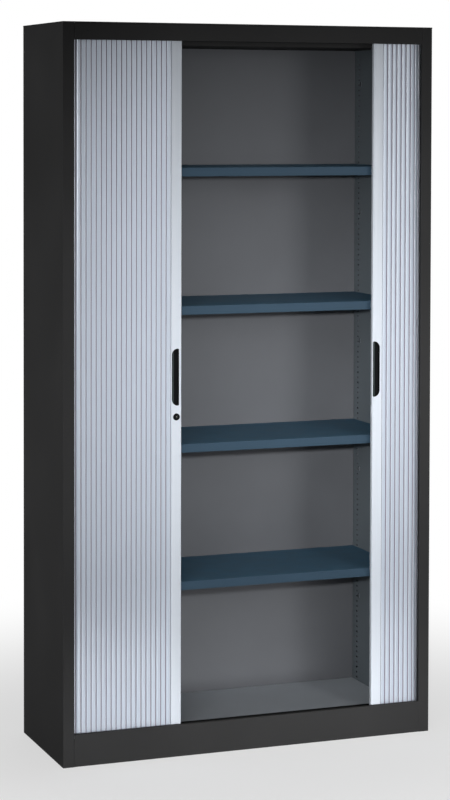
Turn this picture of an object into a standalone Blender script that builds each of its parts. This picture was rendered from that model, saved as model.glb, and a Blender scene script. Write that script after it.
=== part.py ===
"""Tambour door cabinet: a steel casing with two slatted curtains that slide round its front corners.

Units are metres, +Z is up and the front faces -Y. The origin is on the floor, under the casing's middle.
"""

import math

import bmesh
import bpy
from mathutils import Matrix, Vector

MM = 0.001

# Overall size
WIDTH = 1070 * MM
DEPTH = 390 * MM
HEIGHT = 1980 * MM

# Sheet metal and fits
SHEET = 1 * MM
BEND_RADIUS = 0.5 * MM
BEND_STEPS = 2
SMOOTH_DEGREES = 35
WELD_DISTANCE = 0.01 * MM
FIT_GAP = 0.3 * MM
CUT_OVERRUN = 5 * MM

# Casing
STILE_WIDTH = 31 * MM
STILE_RETURN = 8 * MM
REAR_FLANGE = 25 * MM
LID_RIM = 4.5 * MM
BACK_TRAY_DEPTH = 10.7 * MM
TOP_RAIL_HEIGHT = 47.5 * MM
BOTTOM_RAIL_HEIGHT = 86.5 * MM
RAIL_LIP = 10 * MM
RAIL_HOLE_RADIUS = 2 * MM
RAIL_HOLE_SEGMENTS = 12
RAIL_HOLE_INSET = 67 * MM
BASE_HEIGHT = 50 * MM
HEAD_DROP = 30 * MM
FLOOR_RISE = 22.5 * MM
CEILING_DROP = 28 * MM
STORAGE_WIDTH = 70.5 * MM
SHELF_SETBACK = 40 * MM
FLOOR_SETBACK = 73 * MM
WALL_FLANGE = 12 * MM

# Perforated inner walls
HOLE_PITCH = 15 * MM
HOLE_WIDTH = 8 * MM
HOLE_HEIGHT = 5 * MM
HOLE_INSET = 30.5 * MM
FIRST_HOLE_RISE = 9 * MM
LAST_HOLE_DROP = 20 * MM
SLOT_WIDTH = 8 * MM
SLOT_HEIGHT = 13 * MM
SLOT_OFFSET = 11.5 * MM
SLOT_RISE = 233 * MM

# Shelves
SHELF_COUNT = 4
SHELF_EDGE = 24 * MM
SHELF_LIP = 12 * MM
SHELF_END_FLANGE = 10 * MM
SHELF_END_CLEARANCE = 1.2 * MM
SHELF_REAR_CLEARANCE = 2.5 * MM
HOOK_PLATE = 2.4 * MM
HOOK_WIDTH = 7.2 * MM
HOOK_LEDGE = 9 * MM
HOOK_TIP = 3 * MM
HOOK_DROP = 9 * MM

# Curtain tracks
TRACK_SETBACK = 19.5 * MM
TRACK_SIDE_SETBACK = 15.5 * MM
TRACK_GROOVE = 9 * MM
TRACK_WALL = 2.5 * MM
TRACK_FLOOR = 3 * MM
LOWER_TRACK_HEIGHT = 20 * MM
UPPER_TRACK_HEIGHT = 14.7 * MM
CORNER_RADIUS = 42 * MM
TURN_RADIUS = 21.5 * MM
TURN_CLEARANCE = 2 * MM
RETURN_RUN = 125 * MM
CORNER_STEPS = 7
TURN_STEPS = 10

# Slatted curtains
SLAT_PITCH = 14 * MM
CURTAIN_HIDDEN = 58 * MM
SLAT_THICKNESS = 6 * MM
SLAT_CROWN = 0.4 * MM
GROOVE_WIDTH = 2.4 * MM
GROOVE_DEPTH = 3.2 * MM
RELIEF_WIDTH = 1.6 * MM
RELIEF_DEPTH = 1.2 * MM
LIFT_CLEARANCE = 3 * MM
SLIDE_CLEARANCE = 0.5 * MM

# Leading bars
BAR_WIDTH = 29.4 * MM
BAR_DEPTH = 12 * MM
BAR_WALL = 1.6 * MM
BAR_BEND_RADIUS = 0.7 * MM
BAR_LIP = 5 * MM
BAR_PROUD = 2 * MM
BAR_END_CLEARANCE = 1.5 * MM
LEFT_DOOR_DRAWN = 305 * MM
RIGHT_DOOR_DRAWN = 140.5 * MM
SHOE_STEM_LENGTH = 20 * MM
SHOE_THICKNESS = 7.4 * MM
SHOE_CHAMFER = 2 * MM
SHOE_SHOULDER = 0.4 * MM

# Grip cups
GRIP_CENTRE_HEIGHT = 1025 * MM
GRIP_HEIGHT = 152 * MM
GRIP_WIDTH = 20.3 * MM
GRIP_ROUND_RADIUS = 15.5 * MM
GRIP_FLAT_RADIUS = 2.5 * MM
GRIP_RIM = 1.3 * MM
GRIP_RIM_THICKNESS = 0.6 * MM
GRIP_WALL = 1.2 * MM
GRIP_DEPTH = 9.2 * MM
GRIP_DEEP_FLOOR = 7.6 * MM
GRIP_SHALLOW_FLOOR = 2.2 * MM
GRIP_STEPS = 5

# Lock
LOCK_BELOW_GRIP = 28 * MM
LOCK_RING_RADIUS = 9.5 * MM
LOCK_RING_PROUD = 2.5 * MM
LOCK_RING_CHAMFER = 0.8 * MM
LOCK_BARREL_RADIUS = 7.5 * MM
LOCK_PLUG_RADIUS = 4.2 * MM
LOCK_PLUG_RECESS = 0.5 * MM
LOCK_TAIL_RADIUS = 2.6 * MM
LOCK_TAIL_END = 1.2 * MM
KEY_SLOT_WIDTH = 1.2 * MM
KEY_SLOT_LENGTH = 5.6 * MM
KEY_SLOT_DEPTH = 3.2 * MM
HOOK_BOLT_THICKNESS = 2.2 * MM
HOOK_BOLT_LENGTH = 24.5 * MM
HOOK_BOLT_HALF_WIDTH = 3.5 * MM
HOOK_BOLT_HUB_RADIUS = 5.5 * MM
HOOK_BOLT_NOSE_START = 19.3 * MM
HOOK_BOLT_NOSE_RISE = 9 * MM
HOOK_BOLT_SLOT_BELOW = 24 * MM
HOOK_BOLT_SLOT_ABOVE = 4.3 * MM
HOOK_BOLT_SLOT_MARGIN = 0.6 * MM
STRIKE_THICKNESS = 1.2 * MM
STRIKE_BORDER = 8 * MM
ROUND_SEGMENTS = 24

# Levelling feet
FOOT_SIDE_INSET = 95 * MM
FOOT_END_INSET = 62 * MM
FOOT_PAD_RADIUS = 15 * MM
FOOT_PAD_HEIGHT = 7 * MM
FOOT_PAD_CHAMFER = 1.5 * MM
FOOT_STUD_RADIUS = 5 * MM
FOOT_STUD_TOP = 45 * MM
FOOT_SEGMENTS = 16
BRACKET_SHEET = 2 * MM
BRACKET_WIDTH = 44 * MM
BRACKET_LENGTH = 40 * MM
BRACKET_FLANGE = 14 * MM
BRACKET_DROP = 22 * MM
NUT_RADIUS = 9 * MM
NUT_HEIGHT = 6 * MM
NUT_SIDES = 6

# Places worked out from the sizes above
FRONT_Y = -DEPTH / 2
BACK_Y = DEPTH / 2
INSIDE_X = WIDTH / 2 - SHEET - FIT_GAP
FRAME_REAR_Y = FRONT_Y + STILE_RETURN + FIT_GAP
BACK_PANEL_REAR_Y = BACK_Y - SHEET - FIT_GAP
BACK_PANEL_FRONT_Y = BACK_PANEL_REAR_Y - BACK_TRAY_DEPTH
INSIDE_REAR_Y = BACK_PANEL_FRONT_Y - FIT_GAP
FRAME_TOP = HEIGHT - LID_RIM - FIT_GAP
HEAD_UNDERSIDE = HEIGHT - HEAD_DROP
HEAD_TOP = HEIGHT - SHEET - FIT_GAP
WALL_INNER_X = WIDTH / 2 - STORAGE_WIDTH
WALL_BOTTOM = BASE_HEIGHT + FIT_GAP
WALL_TOP = HEAD_UNDERSIDE - FIT_GAP
FLOOR_TOP = BASE_HEIGHT + FLOOR_RISE
HOLES_PER_SHELF = round((HEAD_UNDERSIDE - CEILING_DROP - FLOOR_TOP) / (SHELF_COUNT + 1) / HOLE_PITCH)
SHELF_PITCH = HOLES_PER_SHELF * HOLE_PITCH
SHELF_FRONT_Y = FRONT_Y + SHELF_SETBACK
SHELF_REAR_Y = BACK_PANEL_FRONT_Y - SHELF_REAR_CLEARANCE
FIRST_HOLE_Z = FLOOR_TOP + FIRST_HOLE_RISE
TRACK_Y = FRONT_Y + TRACK_SETBACK
TRACK_X = WIDTH / 2 - TRACK_SIDE_SETBACK
TURN_Y = INSIDE_REAR_Y - TURN_CLEARANCE - TRACK_WALL - TRACK_GROOVE / 2 - TURN_RADIUS
GROOVE_BOTTOM = WALL_BOTTOM + TRACK_FLOOR
GROOVE_TOP = WALL_TOP - TRACK_FLOOR
BAR_FRONT_Y = TRACK_Y - SLAT_THICKNESS / 2 - BAR_PROUD
BAR_REAR_Y = BAR_FRONT_Y + BAR_DEPTH
BAR_BOTTOM = WALL_BOTTOM + LOWER_TRACK_HEIGHT + BAR_END_CLEARANCE
BAR_TOP = WALL_TOP - UPPER_TRACK_HEIGHT - BAR_END_CLEARANCE
HOOK_BOLT_FRONT_Y = (BAR_FRONT_Y + BAR_REAR_Y - HOOK_BOLT_THICKNESS) / 2
HOOK_BOLT_REAR_Y = HOOK_BOLT_FRONT_Y + HOOK_BOLT_THICKNESS
OPENING_X = WIDTH / 2 - STILE_WIDTH
LEFT_LEADING_EDGE = LEFT_DOOR_DRAWN - OPENING_X
RIGHT_LEADING_EDGE = OPENING_X - RIGHT_DOOR_DRAWN
SLAT_COUNT = int((OPENING_X + CURTAIN_HIDDEN - BAR_WIDTH) / SLAT_PITCH)
LOCK_X = LEFT_LEADING_EDGE - BAR_WIDTH / 2
LOCK_HEIGHT = GRIP_CENTRE_HEIGHT - GRIP_HEIGHT / 2 - LOCK_BELOW_GRIP

# Colours, roughness and metallic value of each finish
FINISHES = {
    "charcoal_paint": ((0.030, 0.030, 0.032, 1), 0.45, 0.0),
    "blue_grey_paint": ((0.060, 0.105, 0.145, 1), 0.40, 0.0),
    "inner_grey_paint": ((0.065, 0.075, 0.080, 1), 0.50, 0.0),
    "silver_plastic": ((0.62, 0.67, 0.73, 1), 0.38, 0.25),
    "silver_bar": ((0.70, 0.74, 0.79, 1), 0.32, 0.30),
    "black_plastic": ((0.012, 0.012, 0.013, 1), 0.42, 0.0),
    "zinc_steel": ((0.55, 0.56, 0.58, 1), 0.35, 1.0),
    "bright_metal": ((0.75, 0.74, 0.70, 1), 0.22, 1.0),
}


def clear_scene():
    for obj in list(bpy.data.objects):
        bpy.data.objects.remove(obj, do_unlink=True)


def material(piece, finish):
    """The piece's own material, in one of the named finishes."""
    colour, roughness, metallic = FINISHES[finish]
    made = bpy.data.materials.new(f"{piece}_{finish}")
    made.use_nodes = True
    shader = made.node_tree.nodes["Principled BSDF"]
    shader.inputs["Base Color"].default_value = colour
    shader.inputs["Roughness"].default_value = roughness
    shader.inputs["Metallic"].default_value = metallic
    return made


def add_object(name, mesh, finish=None, parent=None, location=(0, 0, 0)):
    """Puts a mesh in the scene at a place in world space, also when it gets a parent."""
    obj = bpy.data.objects.new(name, mesh)
    bpy.context.collection.objects.link(obj)
    if finish and not mesh.materials:
        mesh.materials.append(material(name, finish))
    place = Vector(location)
    if parent:
        obj.parent = parent
        place -= parent.location
    obj.location = place
    return obj


def add_axis(name, location):
    """An empty on a joint's axis, which carries the pieces that move together."""
    axis = bpy.data.objects.new(name, None)
    axis.location = location
    bpy.context.collection.objects.link(axis)
    return axis


def mesh_from(name, shape):
    """Turns a bmesh into a mesh with its faces pointing outward and only its sharp edges shaded sharp."""
    bmesh.ops.recalc_face_normals(shape, faces=shape.faces)
    mesh = bpy.data.meshes.new(name)
    shape.to_mesh(mesh)
    shape.free()
    mesh.shade_smooth()
    mesh.set_sharp_from_angle(angle=math.radians(SMOOTH_DEGREES))
    return mesh


def extrude(name, outline, low, high, along="Z"):
    """A prism of a closed outline: (x, y) points along Z, (x, z) points along Y or (y, z) points along X."""
    axis = "XYZ".index(along)
    shape = bmesh.new()
    corners = []
    for place in outline:
        point = list(place)
        point.insert(axis, low)
        corners.append(shape.verts.new(point))
    face = shape.faces.new(corners)
    travel = Vector()
    travel[axis] = high - low
    swept = bmesh.ops.extrude_face_region(shape, geom=[face])
    moved = [part for part in swept["geom"] if isinstance(part, bmesh.types.BMVert)]
    bmesh.ops.translate(shape, verts=moved, vec=travel)
    return mesh_from(name, shape)


def box(name, low, high):
    outline = rectangle(low[0], low[1], high[0], high[1])
    return extrude(name, outline, low[2], high[2])


def rectangle(left, bottom, right, top):
    return [(left, bottom), (right, bottom), (right, top), (left, top)]


def disc(radius, segments):
    """A circle's points."""
    turns = [2 * math.pi * step / segments for step in range(segments)]
    return [(radius * math.cos(turn), radius * math.sin(turn)) for turn in turns]


def turned(name, profile, segments, axis="Z"):
    """A solid of revolution: (radius, height) points, the first and last on the axis or a closed ring."""
    shape = bmesh.new()
    points = [shape.verts.new((radius, 0, height)) for radius, height in profile]
    closed = profile[0][0] > 0
    pairs = zip(points, points[1:] + points[:1] if closed else points[1:])
    edges = [shape.edges.new(pair) for pair in pairs]
    bmesh.ops.spin(
        shape,
        geom=points + edges,
        cent=(0, 0, 0),
        axis=(0, 0, 1),
        angle=2 * math.pi,
        steps=segments,
        use_merge=True,
    )
    bmesh.ops.remove_doubles(shape, verts=shape.verts, dist=WELD_DISTANCE)
    if axis == "Y":
        quarter = Matrix.Rotation(math.pi / 2, 3, "X")
        bmesh.ops.rotate(shape, verts=shape.verts, cent=(0, 0, 0), matrix=quarter)
    return mesh_from(name, shape)


def rounded(before, corner, after, radius, steps):
    """The points of an arc that rounds a corner."""
    if not radius:
        return [tuple(corner)]
    to_before = (before - corner).normalized()
    to_after = (after - corner).normalized()
    half = to_before.angle(to_after) / 2
    centre = corner + (to_before + to_after).normalized() * radius / math.sin(half)
    first = corner + to_before * radius / math.tan(half) - centre
    sweep = math.pi - 2 * half
    turn = math.copysign(sweep, first.cross(corner - centre))
    return [tuple(centre + Matrix.Rotation(turn * step / steps, 2) @ first) for step in range(steps + 1)]


def rounded_outline(corners, radii, steps):
    """A closed outline whose corners have these radii."""
    places = [Vector(corner) for corner in corners]
    outline = []
    for index, (corner, radius) in enumerate(zip(places, radii)):
        after = places[(index + 1) % len(places)]
        outline += rounded(places[index - 1], corner, after, radius, steps)
    return outline


def folded(line, sheet=SHEET, radius=BEND_RADIUS, steps=BEND_STEPS):
    """The outline of a folded sheet. The line runs along one face, and the sheet lies to the left of it."""
    places = [Vector(place) for place in line]
    ways = [(after - before).normalized() for before, after in zip(places, places[1:])]
    lefts = [Vector((-way.y, way.x)) for way in ways]
    near, far = [tuple(places[0])], [tuple(places[0] + lefts[0] * sheet)]
    for index in range(1, len(places) - 1):
        left_turn = ways[index - 1].cross(ways[index]) > 0
        reach = sheet / (1 + lefts[index - 1].dot(lefts[index]))
        mitre = places[index] + (lefts[index - 1] + lefts[index]) * reach
        near_radius, far_radius = (radius + sheet, radius) if left_turn else (radius, radius + sheet)
        for edge, corner, bend in ((near, places[index], near_radius), (far, mitre, far_radius)):
            edge.extend(rounded(corner - ways[index - 1], corner, corner + ways[index], bend, steps))
    near.append(tuple(places[-1]))
    far.append(tuple(places[-1] + lefts[-1] * sheet))
    return near + far[::-1]


def mirrored(outline, side):
    """The outline for one side of the cabinet: 1 is the right, as drawn, and -1 the left."""
    return [(side * across, along) for across, along in outline]


def cut(obj, name, mesh, location=(0, 0, 0), repeats=0, step=0):
    """Cuts a mesh out of an object, once or in a row of copies upward."""
    cutter = add_object(name, mesh, location=location)
    cutter.hide_render = True
    cutter.display_type = "WIRE"
    if repeats:
        row = cutter.modifiers.new("row", "ARRAY")
        row.count = repeats
        row.use_relative_offset = False
        row.use_constant_offset = True
        row.constant_offset_displace = (0, 0, step)
    boolean = obj.modifiers.new(name, "BOOLEAN")
    boolean.operation = "DIFFERENCE"
    boolean.object = cutter


def join(obj, name, mesh, location=(0, 0, 0)):
    """Unites a mesh with an object."""
    other = add_object(name, mesh, location=location)
    other.hide_render = True
    other.display_type = "WIRE"
    boolean = obj.modifiers.new(name, "BOOLEAN")
    boolean.operation = "UNION"
    boolean.object = other


def track_line(out):
    """The curtain's route on the right, seen from above and shifted outward."""
    corner = Vector((TRACK_X - CORNER_RADIUS, TRACK_Y + CORNER_RADIUS))
    turn = Vector((TRACK_X - TURN_RADIUS, TURN_Y))
    route = [(FIT_GAP / 2, TRACK_Y - out)]
    for step in range(CORNER_STEPS + 1):
        angle = math.pi / 2 * (step / CORNER_STEPS - 1)
        route.append(tuple(corner + (CORNER_RADIUS + out) * Vector((math.cos(angle), math.sin(angle)))))
    for step in range(TURN_STEPS + 1):
        angle = math.pi * step / TURN_STEPS
        route.append(tuple(turn + (TURN_RADIUS + out) * Vector((math.cos(angle), math.sin(angle)))))
    route.append((TRACK_X - 2 * TURN_RADIUS - out, TURN_Y - RETURN_RUN))
    return route


def on_route(distance):
    """The place on the curtain's route this far from the middle of the front, and the direction there."""
    front = TRACK_X - CORNER_RADIUS
    corner = math.pi / 2 * CORNER_RADIUS
    side = TURN_Y - TRACK_Y - CORNER_RADIUS
    turn = math.pi * TURN_RADIUS
    if distance < front:
        return Vector((distance, TRACK_Y)), Vector((1, 0))
    distance -= front
    if distance < corner:
        angle = distance / CORNER_RADIUS
        offset = Vector((math.sin(angle), 1 - math.cos(angle))) * CORNER_RADIUS
        return Vector((front, TRACK_Y)) + offset, Vector((math.cos(angle), math.sin(angle)))
    distance -= corner
    if distance < side:
        return Vector((TRACK_X, TRACK_Y + CORNER_RADIUS + distance)), Vector((0, 1))
    distance -= side
    if distance < turn:
        angle = distance / TURN_RADIUS
        offset = Vector((math.cos(angle) - 1, math.sin(angle))) * TURN_RADIUS
        return Vector((TRACK_X, TURN_Y)) + offset, Vector((-math.sin(angle), math.cos(angle)))
    distance -= turn
    return Vector((TRACK_X - 2 * TURN_RADIUS, TURN_Y - distance)), Vector((0, -1))


def side_panels():
    """Each outer side with its front stile and rear flange, folded from one sheet."""
    half = WIDTH / 2
    line = [
        (half - REAR_FLANGE, BACK_Y),
        (half, BACK_Y),
        (half, FRONT_Y),
        (half - STILE_WIDTH, FRONT_Y),
        (half - STILE_WIDTH, FRONT_Y + STILE_RETURN),
    ]
    outline = folded(line[::-1])
    for name, side in (("left_side_panel", -1), ("right_side_panel", 1)):
        add_object(name, extrude(name, mirrored(outline, side), 0, FRAME_TOP), "charcoal_paint")


def rails():
    """The front rails between the stiles. The upper one has a small hole near its left end."""
    reach = OPENING_X - FIT_GAP
    top_line = [
        (FRONT_Y + STILE_RETURN, FRAME_TOP),
        (FRONT_Y, FRAME_TOP),
        (FRONT_Y, HEIGHT - TOP_RAIL_HEIGHT),
        (FRONT_Y + RAIL_LIP, HEIGHT - TOP_RAIL_HEIGHT),
    ]
    top = add_object("top_rail", extrude("top_rail", folded(top_line), -reach, reach, "X"), "charcoal_paint")
    circle = disc(RAIL_HOLE_RADIUS, RAIL_HOLE_SEGMENTS)
    hole = extrude("rail_hole", circle, -CUT_OVERRUN, CUT_OVERRUN, "Y")
    cut(top, "rail_hole", hole, (RAIL_HOLE_INSET - WIDTH / 2, FRONT_Y, HEIGHT - TOP_RAIL_HEIGHT / 2))
    bottom_line = [
        (FRONT_Y + RAIL_LIP, BOTTOM_RAIL_HEIGHT),
        (FRONT_Y, BOTTOM_RAIL_HEIGHT),
        (FRONT_Y, 0),
        (FRONT_Y + STILE_RETURN, 0),
    ]
    bottom = extrude("bottom_rail", folded(bottom_line), -reach, reach, "X")
    add_object("bottom_rail", bottom, "charcoal_paint")


def lid_and_trays():
    """The lid with its low rim, and the head and base trays that carry it, the tracks and the walls."""
    half = WIDTH / 2
    low = HEIGHT - LID_RIM
    lid_line = [(FRONT_Y, low), (FRONT_Y, HEIGHT), (BACK_Y, HEIGHT), (BACK_Y, low)]
    lid_mesh = extrude("top_panel", folded(lid_line[::-1]), -half, half, "X")
    lid = add_object("top_panel", lid_mesh, "charcoal_paint")
    for name, side in (("lid_left_rim", -1), ("lid_right_rim", 1)):
        near, far = sorted((side * half, side * (half - SHEET)))
        rim = box(name, (near, FRONT_Y + SHEET / 2, low), (far, BACK_Y - SHEET / 2, HEIGHT - SHEET / 2))
        join(lid, name, rim)
    head_line = [
        (FRAME_REAR_Y, HEAD_TOP),
        (FRAME_REAR_Y, HEAD_UNDERSIDE),
        (INSIDE_REAR_Y, HEAD_UNDERSIDE),
        (INSIDE_REAR_Y, HEAD_TOP),
    ]
    head = extrude("head_tray", folded(head_line), -INSIDE_X, INSIDE_X, "X")
    add_object("head_tray", head, "charcoal_paint")
    base_line = [
        (FRAME_REAR_Y, 0),
        (FRAME_REAR_Y, BASE_HEIGHT),
        (INSIDE_REAR_Y, BASE_HEIGHT),
        (INSIDE_REAR_Y, 0),
    ]
    base = extrude("base_tray", folded(base_line[::-1]), -INSIDE_X, INSIDE_X, "X")
    add_object("base_tray", base, "charcoal_paint")


def back_panel():
    """The back, a shallow tray that opens to the rear."""
    line = [
        (INSIDE_X, BACK_PANEL_REAR_Y),
        (INSIDE_X, BACK_PANEL_FRONT_Y),
        (-INSIDE_X, BACK_PANEL_FRONT_Y),
        (-INSIDE_X, BACK_PANEL_REAR_Y),
    ]
    mesh = extrude("back_panel", folded(line[::-1]), 0, HEAD_TOP)
    back = add_object("back_panel", mesh, "inner_grey_paint")
    edge = INSIDE_X - SHEET / 2
    middle = BACK_PANEL_FRONT_Y + SHEET / 2
    for name, low in (("back_lower_flange", 0), ("back_upper_flange", HEAD_TOP - SHEET)):
        join(back, name, box(name, (-edge, middle, low), (edge, BACK_PANEL_REAR_Y, low + SHEET)))


def floor_and_ceiling():
    """The inner floor and ceiling, which stand on the base tray and hang from the head tray."""
    reach = WALL_INNER_X - FIT_GAP
    front = FRONT_Y + FLOOR_SETBACK
    floor_line = [
        (front, WALL_BOTTOM),
        (front, FLOOR_TOP),
        (INSIDE_REAR_Y, FLOOR_TOP),
        (INSIDE_REAR_Y, WALL_BOTTOM),
    ]
    floor = extrude("floor_panel", folded(floor_line[::-1]), -reach, reach, "X")
    add_object("floor_panel", floor, "inner_grey_paint")
    under = HEAD_UNDERSIDE - CEILING_DROP
    ceiling_line = [(front, WALL_TOP), (front, under), (INSIDE_REAR_Y, under), (INSIDE_REAR_Y, WALL_TOP)]
    ceiling = extrude("ceiling_panel", folded(ceiling_line), -reach, reach, "X")
    add_object("ceiling_panel", ceiling, "charcoal_paint")


def hole_columns():
    """The depths of the front and rear columns of holes."""
    return SHELF_FRONT_Y + HOLE_INSET, SHELF_REAR_Y - HOLE_INSET


def inner_walls():
    """The perforated walls between the shelves and the stored curtains."""
    outer = WALL_INNER_X + WALL_FLANGE
    line = [
        (outer, INSIDE_REAR_Y),
        (WALL_INNER_X, INSIDE_REAR_Y),
        (WALL_INNER_X, SHELF_FRONT_Y),
        (outer, SHELF_FRONT_Y),
    ]
    outline = folded(line)
    front, rear = hole_columns()
    count = int((WALL_TOP - LAST_HOLE_DROP - CEILING_DROP - FIRST_HOLE_Z) / HOLE_PITCH) + 1
    first_shelf_hole = FIRST_HOLE_Z + SHELF_PITCH
    first_slot = shelf_height(0) - SHELF_PITCH + SLOT_RISE
    hole, slot = (HOLE_WIDTH, HOLE_HEIGHT), (SLOT_WIDTH, SLOT_HEIGHT)
    columns = (
        ("front_holes", hole, (front, first_shelf_hole), (SHELF_COUNT, SHELF_PITCH)),
        ("rear_holes", hole, (rear, FIRST_HOLE_Z), (count, HOLE_PITCH)),
        ("front_slots", slot, (front + SLOT_OFFSET, first_slot), (SHELF_COUNT + 1, SHELF_PITCH)),
        ("rear_slots", slot, (rear - SLOT_OFFSET, first_slot), (SHELF_COUNT + 1, SHELF_PITCH)),
    )
    for name, side in (("left_inner_wall", -1), ("right_inner_wall", 1)):
        mesh = extrude(name, mirrored(outline, side), WALL_BOTTOM, WALL_TOP)
        wall = add_object(name, mesh, "inner_grey_paint")
        for column, (width, height), (depth, first), (repeats, pitch) in columns:
            low = (-CUT_OVERRUN, -width / 2, -height / 2)
            high = (CUT_OVERRUN, width / 2, height / 2)
            place = (side * (WALL_INNER_X + SHEET / 2), depth, first)
            cut(wall, f"{name}_{column}", box(column, low, high), place, repeats, pitch)


def shelf_height(index):
    """The top of a shelf, counted from the lowest, which the hole that its hooks hang in sets."""
    hole = FIRST_HOLE_Z + SHELF_PITCH * (index + 1)
    return hole - HOLE_HEIGHT / 2 + FIT_GAP + HOOK_PLATE + FIT_GAP + SHELF_END_FLANGE


def shelves():
    """Four shelves folded down on all sides, each hung on four hooks."""
    reach = WALL_INNER_X - SHELF_END_CLEARANCE
    line = [
        (SHELF_FRONT_Y + SHELF_LIP, -SHELF_EDGE),
        (SHELF_FRONT_Y, -SHELF_EDGE),
        (SHELF_FRONT_Y, 0),
        (SHELF_REAR_Y, 0),
        (SHELF_REAR_Y, -SHELF_EDGE),
        (SHELF_REAR_Y - SHELF_LIP, -SHELF_EDGE),
    ]
    mesh = extrude("shelf", folded(line[::-1]), -reach, reach, "X")
    mesh.materials.append(material("shelf", "blue_grey_paint"))
    ends = []
    for name, side in (("left", -1), ("right", 1)):
        near, far = sorted((side * reach, side * (reach - SHEET)))
        low = (near, SHELF_FRONT_Y + SHEET / 2, -SHELF_END_FLANGE)
        high = (far, SHELF_REAR_Y - SHEET / 2, -SHEET / 2)
        ends.append((name, box(f"shelf_{name}_end", low, high)))
    for index in range(SHELF_COUNT):
        height = shelf_height(index)
        shelf = add_object(f"shelf_{index + 1}", mesh, location=(0, 0, height))
        for name, end in ends:
            join(shelf, f"shelf_{index + 1}_{name}_end", end, (0, 0, height))


def shelf_hooks():
    """The bent steel hooks in the wall holes, whose tips hold the shelves' end flanges."""
    back = SHEET + FIT_GAP
    outline = [
        (back, -HOOK_DROP),
        (back + HOOK_PLATE, -HOOK_DROP),
        (back + HOOK_PLATE, HOOK_PLATE),
        (HOOK_PLATE - HOOK_LEDGE, HOOK_PLATE),
        (HOOK_PLATE - HOOK_LEDGE, HOOK_PLATE + HOOK_TIP),
        (-HOOK_LEDGE, HOOK_PLATE + HOOK_TIP),
        (-HOOK_LEDGE, 0),
        (back, 0),
    ]
    for side_name, side in (("left", -1), ("right", 1)):
        name = f"{side_name}_hook"
        mesh = extrude(name, mirrored(outline, side), -HOOK_WIDTH / 2, HOOK_WIDTH / 2, "Y")
        mesh.materials.append(material(name, "zinc_steel"))
        for index in range(SHELF_COUNT):
            level = shelf_height(index) - SHELF_END_FLANGE - FIT_GAP - HOOK_PLATE
            for place, depth in zip(("front", "rear"), hole_columns()):
                hook_name = f"hook_{index + 1}_{side_name}_{place}"
                add_object(hook_name, mesh, location=(side * WALL_INNER_X, depth, level))


def tracks():
    """The grooved plastic tracks, swept along the curtain's route below and above it."""
    for level, floor, rim in (
        ("lower", WALL_BOTTOM, WALL_BOTTOM + LOWER_TRACK_HEIGHT),
        ("upper", WALL_TOP, WALL_TOP - UPPER_TRACK_HEIGHT),
    ):
        thick = math.copysign(TRACK_FLOOR, rim - floor)
        inner, outer = TRACK_GROOVE / 2, TRACK_GROOVE / 2 + TRACK_WALL
        section = [
            (-outer, floor),
            (outer, floor),
            (outer, rim),
            (inner, rim),
            (inner, floor + thick),
            (-inner, floor + thick),
            (-inner, rim),
            (-outer, rim),
        ]
        for side_name, side in (("left", -1), ("right", 1)):
            name = f"{side_name}_{level}_track"
            rows = [[(side * x, y, height) for x, y in track_line(out)] for out, height in section]
            add_object(name, swept(name, rows), "black_plastic")


def swept(name, rows):
    """A closed solid whose rows of points run along it, one row for each corner of its section."""
    shape = bmesh.new()
    grid = [[shape.verts.new(point) for point in row] for row in rows]
    for row, beside in zip(grid, grid[1:] + grid[:1]):
        for index in range(len(row) - 1):
            shape.faces.new((row[index], row[index + 1], beside[index + 1], beside[index]))
    shape.faces.new([row[0] for row in grid])
    shape.faces.new([row[-1] for row in grid])
    return mesh_from(name, shape)


def curtain_outline(start):
    """A curtain on the right, seen from above: straight slats along the route, joined at vee grooves."""
    front, rear = SLAT_THICKNESS / 2, -SLAT_THICKNESS / 2
    groove_edge = (SLAT_PITCH - GROOVE_WIDTH) / 2
    relief_edge = (SLAT_PITCH - RELIEF_WIDTH) / 2
    outer = [(-groove_edge, front - SLAT_CROWN), (0, front), (groove_edge, front - SLAT_CROWN)]
    inner = [(-relief_edge, rear), (relief_edge, rear)]
    outside, inside = [], []
    for index in range(SLAT_COUNT):
        begin, end = (on_route(start + SLAT_PITCH * joint)[0] for joint in (index, index + 1))
        along = (end - begin).normalized()
        outward = Vector((along.y, -along.x))
        middle = (begin + end) / 2
        outside += [middle + along * across + outward * depth for across, depth in outer]
        inside += [middle + along * across + outward * depth for across, depth in inner]
        if index < SLAT_COUNT - 1:
            way = on_route(start + SLAT_PITCH * (index + 1))[1]
            outward = Vector((way.y, -way.x))
            outside.append(end + outward * (front - GROOVE_DEPTH))
            inside.append(end + outward * (rear + RELIEF_DEPTH))
    return [tuple(point) for point in outside + inside[::-1]]


def doors():
    """Both doors: a curtain, a leading bar, its two shoes and a grip cup, carried by an axis that slides."""
    axes = {}
    for name, side, edge in (("left", -1, LEFT_LEADING_EDGE), ("right", 1, RIGHT_LEADING_EDGE)):
        middle = edge + side * BAR_WIDTH / 2
        axis = add_axis(f"{name}_door", (middle, TRACK_Y, 0))
        axes[name] = axis
        route = curtain_outline(side * edge + BAR_WIDTH + FIT_GAP)
        outline = [(side * x - middle, y - TRACK_Y) for x, y in route]
        low, high = GROOVE_BOTTOM + SLIDE_CLEARANCE, GROOVE_TOP - LIFT_CLEARANCE
        curtain = extrude(f"{name}_curtain", outline, low, high)
        add_object(f"{name}_curtain", curtain, "silver_plastic", axis, axis.location)
        leading_bar(name, side, axis)
        shoes(name, axis)
        grip_cup(name, side, axis)
    return axes


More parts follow.
